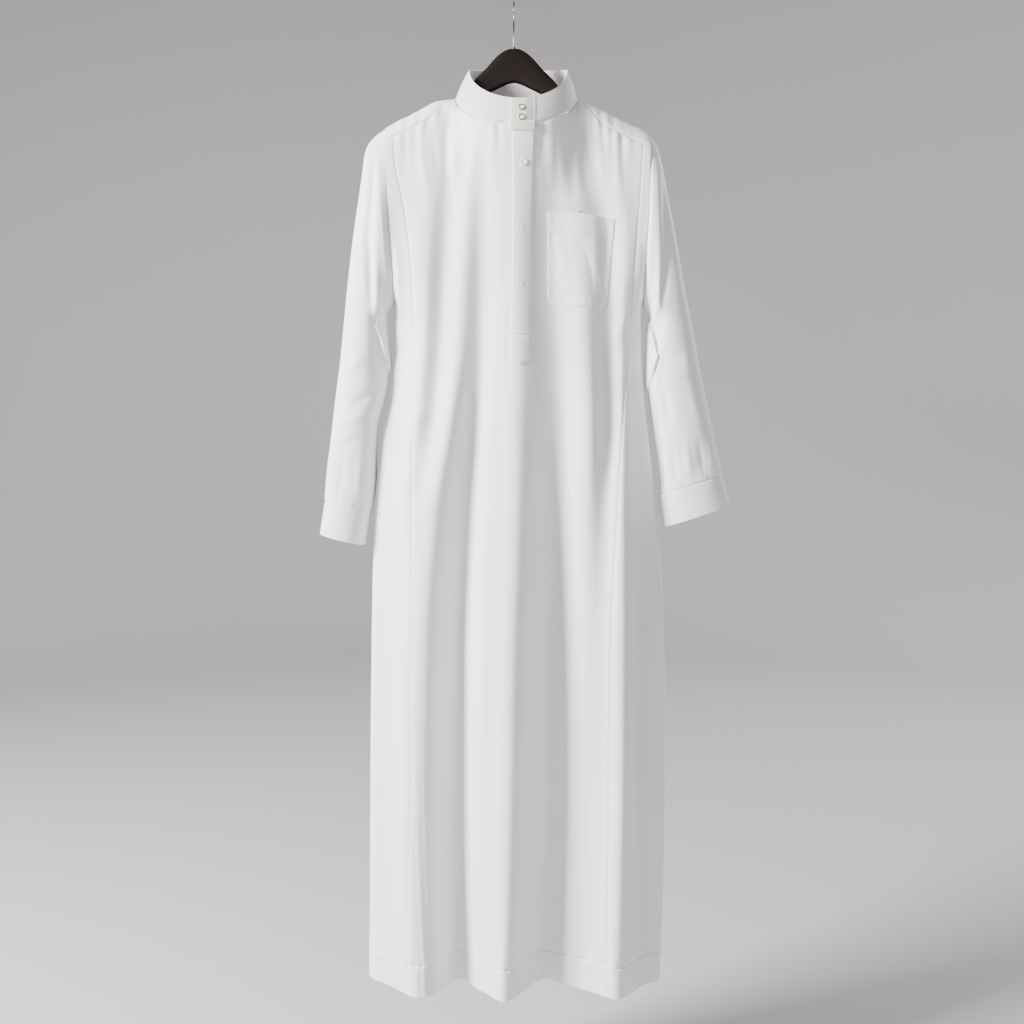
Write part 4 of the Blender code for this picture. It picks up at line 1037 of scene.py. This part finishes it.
def collar_piece(look):
    turn = np.linspace(0.0, 2.0 * np.pi, 180, endpoint=False)
    shares = np.linspace(0.0, 1.0, COLLAR_ROWS + 1)
    grid = np.stack([collar_line(turn, share) for share in shares])
    outward, normals = round_normals(grid)
    up = shares[:, None] * COLLAR_HEIGHT
    wave = waviness(turn * 0.09 + up * 0, up, 41, 1.1 * MM) * np.sin(np.pi * shares * 0.9)[:, None]
    relief = wave + seam_dip(up, 0.9 * MM, 1.2 * MM)
    for place in COLLAR_LINES:
        relief = relief + seam_dip(up - place, 0.22 * MM, 0.9 * MM)
    grid = grid + normals * relief[..., None]
    cloth_piece("collar", grid, outward, look,
                STIFF_CLOTH, True)
    for place in COLLAR_LINES:
        sew_round(grid, normals, int(round(place / COLLAR_HEIGHT * COLLAR_ROWS)))


def front_face(x, z):
    """Front of the panel below at a place, as y."""
    return -cloth_out(-1, x, z)


def raised(x, z, heights, base):
    """Grid of points over a base surface."""
    return np.stack([x, base(x, z) - heights, z], axis=2)


def patch_shares(rows, columns):
    return np.linspace(0.0, 1.0, rows + 1)[:, None], np.linspace(0.0, 1.0, columns + 1)[None, :]


def rounding(away, reach):
    """Drop of a folded edge toward the piece below, as a share."""
    return 1.0 - np.sqrt(1.0 - (1.0 - np.clip(away / reach, 0.0, 1.0)) ** 2)


def edge_away(across, down, wide, tall):
    return np.minimum(np.minimum(across, 1.0 - across) * wide, np.minimum(down, 1.0 - down) * tall)


def side_lines(across, wide, inset):
    """Shallow stitched grooves along both long edges."""
    sides = across * wide - inset, (1 - across) * wide - inset
    return sum(seam_dip(away, 0.2 * MM, 0.8 * MM) for away in sides)


def placket_front(x, z):
    return front_face(x, z) - PLACKET_WALL - PLACKET_RISE


def placket_piece(look):
    down, across = patch_shares(PLACKET_ROWS, 26)
    z = PLACKET_TOP_Z + (PLACKET_END_Z - PLACKET_TOP_Z) * down
    left = along(PLACKET_DOWN, PLACKET_LEFT, -z / MM) * MM
    right = along(PLACKET_DOWN, PLACKET_RIGHT, -z / MM) * MM
    x = left + (right - left) * across
    z = z - PLACKET_POINT * (1.0 - np.abs(2.0 * across - 1.0)) * smoothstep(0.93, 1.0, down)
    drop = rounding(edge_away(across, down, PLACKET_WIDE, PLACKET_TALL), 1.4 * MM) * 1.0 * MM
    ripples = 0.25 * MM * np.sin(z / (5.5 * MM) + 2.0 * np.sin(z / (45 * MM)))
    ripples = ripples * sum(np.exp(-share * PLACKET_WIDE / (5 * MM)) for share in (across, 1 - across))
    lines = side_lines(across, PLACKET_WIDE, 2.5 * MM)
    lines = lines + seam_dip(z - STITCH_CROSS_Z, 1.6 * MM, 1.6 * MM)
    presses = np.zeros_like(x)
    for px, pz in BUTTON_MARKS:
        away = np.hypot(x - px, z - pz)
        presses += 0.55 * MM * np.exp(-((away - 4.5 * MM) / (1.6 * MM)) ** 2)
        presses += 0.4 * MM * np.exp(-(away / (3.5 * MM)) ** 2)
    heights = PLACKET_WALL + PLACKET_RISE - drop + waviness(x, z, 51, 0.8 * MM) + ripples
    grid = raised(x, z, heights + lines + presses, front_face)
    cloth_piece("placket", grid, FORWARD, look, thickness=1.2 * MM)
    for j in (2, 24):
        sew(grid[:, j])
    place = (PLACKET_TOP_Z - STITCH_CROSS_Z) / (PLACKET_TOP_Z - PLACKET_END_Z)
    sew(grid[int(round(place * PLACKET_ROWS)), 2:25])


def pocket_piece(look):
    rows = 90
    down, across = patch_shares(rows, 62)
    wide = POCKET_TOP_WIDE + (POCKET_LOW_WIDE - POCKET_TOP_WIDE) * down
    top = POCKET_TOP_LEFT_Z + (POCKET_TOP_RIGHT_Z - POCKET_TOP_LEFT_Z) * across ** 2
    low = POCKET_LOW_LEFT_Z + (POCKET_LOW_RIGHT_Z - POCKET_LOW_LEFT_Z) * across
    low = low + POCKET_CHAMFER * np.maximum(np.abs(2.0 * across - 1.0) - 0.84, 0.0) / 0.16
    x = POCKET_LEFT_X + wide * across
    tall = top - low
    z = top - tall * down
    from_top = down * tall
    mouth = np.exp(-from_top / (42 * MM)) * np.sin(np.pi * np.clip(across, 0.0, 1.0)) ** 0.7
    gape = mouth * (1.6 * MM + 4.2 * MM * np.exp(-((across - 0.72) / 0.2) ** 2))
    band = 0.4 * MM * (1.0 - smoothstep(33.2 * MM, 34.6 * MM, from_top))
    band = band + seam_dip(from_top - POCKET_BAND, 0.7 * MM, 1.2 * MM)
    edge = np.minimum(np.minimum(across, 1.0 - across) * wide, (1.0 - down) * tall)
    ripples = np.sin(z / (6.0 * MM) + x / (1.9 * MM) + 1.5 * np.sin((x - z) / (24 * MM)))
    ripples = ripples * POCKET_RIPPLE * np.exp(-edge / (8 * MM)) * smoothstep(0.0, 3 * MM, edge)
    folds = crease_relief(POCKET_CREASES, x, z) * smoothstep(0.0, 14 * MM, edge)
    folds = folds + waviness(x, z, 61, 1.4 * MM) * smoothstep(0.0, 12 * MM, edge)
    line = seam_dip(edge - 2.5 * MM, 0.18 * MM, 0.8 * MM)
    heights = CLOTH + 0.6 * MM + gape + band + ripples + folds + line
    heights = heights - 0.7 * MM * rounding(edge, 1.4 * MM)
    grid = raised(x, z, np.maximum(heights, CLOTH), front_face)
    cloth_piece("pocket", grid, FORWARD, look)
    sew(grid[:-2, 2])
    sew(grid[-3, 2:-2])
    sew(grid[:-2, -3][::-1])
    sew(grid[int(round(POCKET_BAND / (150 * MM) * rows))])


def tab_base(x, z):
    """Front of the collar, or of the placket below it."""
    turn = np.arcsin(np.clip((x - NECK_X) / NECK_HALF, -1.0, 1.0))
    low = collar_line(turn, 0.0)
    high = collar_line(turn, 1.0)
    share = np.clip((z - low[..., 2]) / (high[..., 2] - low[..., 2]), 0.0, 1.0)
    on_collar = low[..., 1] + (high[..., 1] - low[..., 1]) * share - 1.9 * MM * np.sin(np.pi * share)
    blend = smoothstep(-4 * MM, 4 * MM, z - low[..., 2])
    on_placket = placket_front(x, z)
    return on_placket * (1.0 - blend) + np.minimum(on_collar, on_placket + 4 * MM) * blend


def tab_piece(look):
    """Overlap of the collar; its right edge sinks into the band."""
    down, across = patch_shares(60, 40)
    wide = TAB_RIGHT_X - TAB_LEFT_X
    x = TAB_LEFT_X + wide * across + 0.0 * down
    turn = np.arcsin((x - NECK_X) / NECK_HALF)
    top = collar_line(turn, 1.0)[..., 2] - 0.4 * MM
    z = top + (TAB_LOW_Z - top) * down
    drop = rounding(edge_away(across, down, wide, TAB_TALL), 1.8 * MM) * 1.2 * MM
    lines = side_lines(across, wide, 3 * MM)
    lines = lines + seam_dip((1 - down) * TAB_TALL - 5 * MM, 0.25 * MM, 0.9 * MM)
    on_band = smoothstep(-0.5, 0.5, (z - collar_line(turn, 0.0)[..., 2]) / (4 * MM))
    sunk = smoothstep(0.55, 1.0, across) * (TAB_WALL + 0.1 * MM) * on_band
    heights = TAB_WALL + 0.3 * MM - drop * (1.0 - on_band * across) + lines - sunk
    grid = raised(x, z, heights, tab_base)
    cloth_piece("collar_tab", grid, FORWARD, look,
                1.4 * MM)
    sew(grid[:-5, 3])
    sew(grid[:-5, -4])
    sew(grid[-6, 3:-3])
    return grid


def seat_on(grid, x, z):
    """Nearest grid point of a surface and its facing."""
    away = (grid[..., 0] - x) ** 2 + (grid[..., 2] - z) ** 2
    i, j = np.unravel_index(np.argmin(away), away.shape)
    i = min(max(i, 3), grid.shape[0] - 4)
    j = min(max(j, 3), grid.shape[1] - 4)
    facing = np.cross(grid[i, j + 3] - grid[i, j - 3], grid[i + 3, j] - grid[i - 3, j])
    facing /= np.linalg.norm(facing)
    if facing[1] > 0.0:
        facing = -facing
    return np.array((x, grid[i, j, 1], z)), facing


def fastening_pieces(tab_grid, metal, centre_look, shell_look, thread):
    for name, z in (("snap_upper", SNAP_UPPER_Z), ("snap_lower", SNAP_LOWER_Z)):
        place, facing = seat_on(tab_grid, SNAP_X, z)
        finish_piece(turned(name + "_ring", place, facing, SNAP_RING, metal), name)
        finish_piece(turned(name + "_centre", place, facing, SNAP_CENTRE, centre_look), name)
    y = float(placket_front(np.array(BUTTON_X), np.array(BUTTON_Z)))
    place, facing = np.array((BUTTON_X, y, BUTTON_Z)), np.array((0.0, -1.0, 0.05))
    finish_piece(turned("button_disc", place, facing, BUTTON_SHAPE, shell_look), "button")
    for number, (dx, dz) in enumerate(((-1, -1), (1, -1), (-1, 1), (1, 1))):
        hole = place + np.array((dx * HOLE_AWAY, -1.15 * MM, dz * HOLE_AWAY))
        finish_piece(turned("button_thread_" + str(number), hole, facing, KNOT, thread, 12))


# Hanger and hook. Each row of ARM holds the distance from the middle and the
# depths below the hook of the arm's top and underside, in mm

HANGER_HALF_THICK = 7 * MM
HUMP_Z = -71.5 * MM
HANGER_ROOM = 1.6 * MM
ARM_HALF = 192 * MM
ARM = [
    (0, 71.5, 126), (8, 72.5, 128), (18, 77, 132), (30, 87, 138), (45, 104, 145), (62, 121, 153),
    (76, 138, 162), (87, 158, 171), (97, 163, 176), (118, 168, 184), (140, 176, 193), (192, 186, 217),
]
WIRE = 1.4 * MM
LOOP_INNER = 16.5 * MM


def superround(turn):
    """Cosine and sine, pushed outward to a squarer ring."""
    return [np.sign(part) * np.abs(part) ** 0.7 for part in (np.cos(turn), np.sin(turn))]


def hanger_piece(look):
    """Rounded arms with the hump in the middle."""
    places, tops, lows = zip(*ARM)
    across, up = superround(np.linspace(0.0, 2.0 * np.pi, 28, endpoint=False))
    rows = []
    for x in np.linspace(-ARM_HALF, ARM_HALF, 193):
        away = abs(x) / MM
        top = -float(along(places, tops, away)) * MM
        low = -float(along(places, lows, away)) * MM
        if away > 140:
            top = float(shoulder_z(x)) - CLOTH - HANGER_ROOM
        end = min(1.0, (192.5 - away) / 5.0)
        shrink = math.sqrt(max(1.0 - (1.0 - end) ** 2, 0.01))
        y = HANGER_HALF_THICK * shrink * across
        z = (top + low) / 2.0 + (top - low) / 2.0 * shrink * up
        rows.append(np.stack([np.full_like(y, x), y, z], axis=1))
    finish_piece(tube("hanger_arms", rows, look), "hanger")


def hook_piece(look):
    """Round wire: stem, bend and loop, with a rounded tip."""
    radius = LOOP_INNER + WIRE
    path = [(0.0, HUMP_Z - 1.0 * MM), (0.0, -60 * MM), (0.0, -52 * MM), (0.3 * MM, -48 * MM),
            (1.4 * MM, -43.5 * MM), (3.6 * MM, -39.5 * MM), (6.6 * MM, -36 * MM)]
    for degrees in range(-50, 198, 4):
        turn = math.radians(degrees)
        path.append((math.cos(turn) * radius, -LOOP_INNER + math.sin(turn) * radius))
    path = np.array(path)
    turn = np.linspace(0.0, 2.0 * np.pi, 20, endpoint=False)
    rows = []
    for k, (y, z) in enumerate(path):
        ahead = path[min(k + 1, len(path) - 1)] - path[max(k - 1, 0)]
        ahead /= np.linalg.norm(ahead)
        size = WIRE * (0.55 if k == len(path) - 1 else 1.0)
        aside = np.sin(turn) * size
        rows.append(np.stack([np.cos(turn) * size, y - ahead[1] * aside, z + ahead[0] * aside], axis=1))
    finish_piece(tube("hook_wire", rows, look), "hook")
    collar = turned("hook_collar", (0.0, 0.0, HUMP_Z - 1.5 * MM), (0.0, 0.0, 1.0),
                    [(3.4, 0.0), (3.4, 2.0), (3.0, 2.8), (1.6, 3.2)], look, 28)
    finish_piece(collar)


# Stage, lights and camera

FLOOR_Z = -1.78
FLAT_RADIUS = 3.6
BEND_RADIUS = 1.6
RIM_Z = 2.6


def stage_sweep(look):
    """Round pale floor whose rim curves up on every side."""
    profile = [(0.01, FLOOR_Z), (FLAT_RADIUS, FLOOR_Z)]
    for turn in np.linspace(0.0, math.pi / 2, 17)[1:]:
        profile.append((FLAT_RADIUS + BEND_RADIUS * math.sin(turn),
                        FLOOR_Z + BEND_RADIUS * (1 - math.cos(turn))))
    profile.append((FLAT_RADIUS + BEND_RADIUS, RIM_Z))
    sides = 96
    turn = 2.0 * np.pi * np.arange(sides) / sides
    points = np.concatenate([np.stack([radius * np.cos(turn), radius * np.sin(turn),
                                       np.full(sides, z)], axis=1) for radius, z in profile])
    faces = band_faces(len(profile), sides) + [tuple(reversed(range(sides)))]
    new_object("stage_sweep", points, faces, look)


def area_light(name, place, aim, size, power, colour):
    data = bpy.data.lights.new(name, "AREA")
    data.shape = "RECTANGLE"
    data.size, data.size_y = size
    data.energy = power
    data.color = colour
    lamp = bpy.data.objects.new(name, data)
    lamp.location = place
    lamp.rotation_euler = (Vector(aim) - Vector(place)).to_track_quat("-Z", "Y").to_euler()
    bpy.context.scene.collection.objects.link(lamp)


def camera_and_lights():
    stage_look, _, stage_shader = node_material("stage_plain", (0.52, 0.51, 0.5), 0.85)
    stage_sweep(stage_look)
    area_light("key", (-2.6, -1.25, 0.45), (0.0, 0.0, -0.75), (0.8, 1.2), 420.0, (1.0, 0.99, 0.97))
    area_light("fill", (1.2, -3.2, -0.4), (0.0, 0.0, -0.8), (2.2, 2.2), 14.0, (0.97, 0.98, 1.0))
    area_light("back", (3.0, 2.2, 1.2), (0.0, 0.0, -0.8), (1.6, 1.6), 110.0, (1.0, 1.0, 1.0))
    world = bpy.data.worlds.new("soft_room")
    world.use_nodes = True
    world.node_tree.nodes["Background"].inputs["Color"].default_value = (0.78, 0.8, 0.84, 1.0)
    world.node_tree.nodes["Background"].inputs["Strength"].default_value = 0.38
    bpy.context.scene.world = world
    data = bpy.data.cameras.new("photo_view")
    data.sensor_width = 36.0
    data.lens = 36.26
    data.shift_y = -0.070
    eye = bpy.data.objects.new("photo_view", data)
    eye.location = (-0.003, -1.65, -0.698)
    eye.rotation_euler = (math.radians(90.0), 0.0, 0.0)
    bpy.context.scene.collection.objects.link(eye)
    bpy.context.scene.camera = eye


def build():
    cloth = cloth_material("white_cloth_finish", (0.88, 0.88, 0.89), (0.85, 0.85, 0.865))
    # Collar and tab cloth: a slightly warm white, darkened to grey as painted shade of the collar band;
    # the cuffs, of the same stiff cloth, get the lighter copy on the next line.
    stiff = cloth_material("stiff_cloth_warm_with_painted_shade", (0.76, 0.745, 0.725), (0.73, 0.715, 0.7), 0.3)
    cuff = cloth_material("cuff_cloth_finish", (0.87, 0.87, 0.87), (0.84, 0.84, 0.84), 0.3)
    thread = cloth_material("white_thread", (0.68, 0.68, 0.68), (0.62, 0.62, 0.62), 0.5)
    dark = hanger_material()
    steel = metal_material("hook_steel_finish", (0.2, 0.19, 0.2), 0.3, 0.36)
    brass = metal_material("snap_ring_finish", (0.5, 0.44, 0.32), 0.3, 0.42)
    pale = cloth_material("snap_centre_finish", (0.8, 0.79, 0.76), (0.76, 0.75, 0.72), 0.1)
    hanger_piece(dark)
    hook_piece(steel)
    yoke_piece(cloth)
    body_panels(cloth)
    sleeve_pieces(cloth, cuff)
    collar_piece(stiff)
    placket_piece(cloth)
    pocket_piece(cloth)
    tab_grid = tab_piece(stiff)
    fastening_pieces(tab_grid, brass, pale, shell_material(), thread)
    stitches("seam_stitches", seam_lines, thread)
    camera_and_lights()


build()
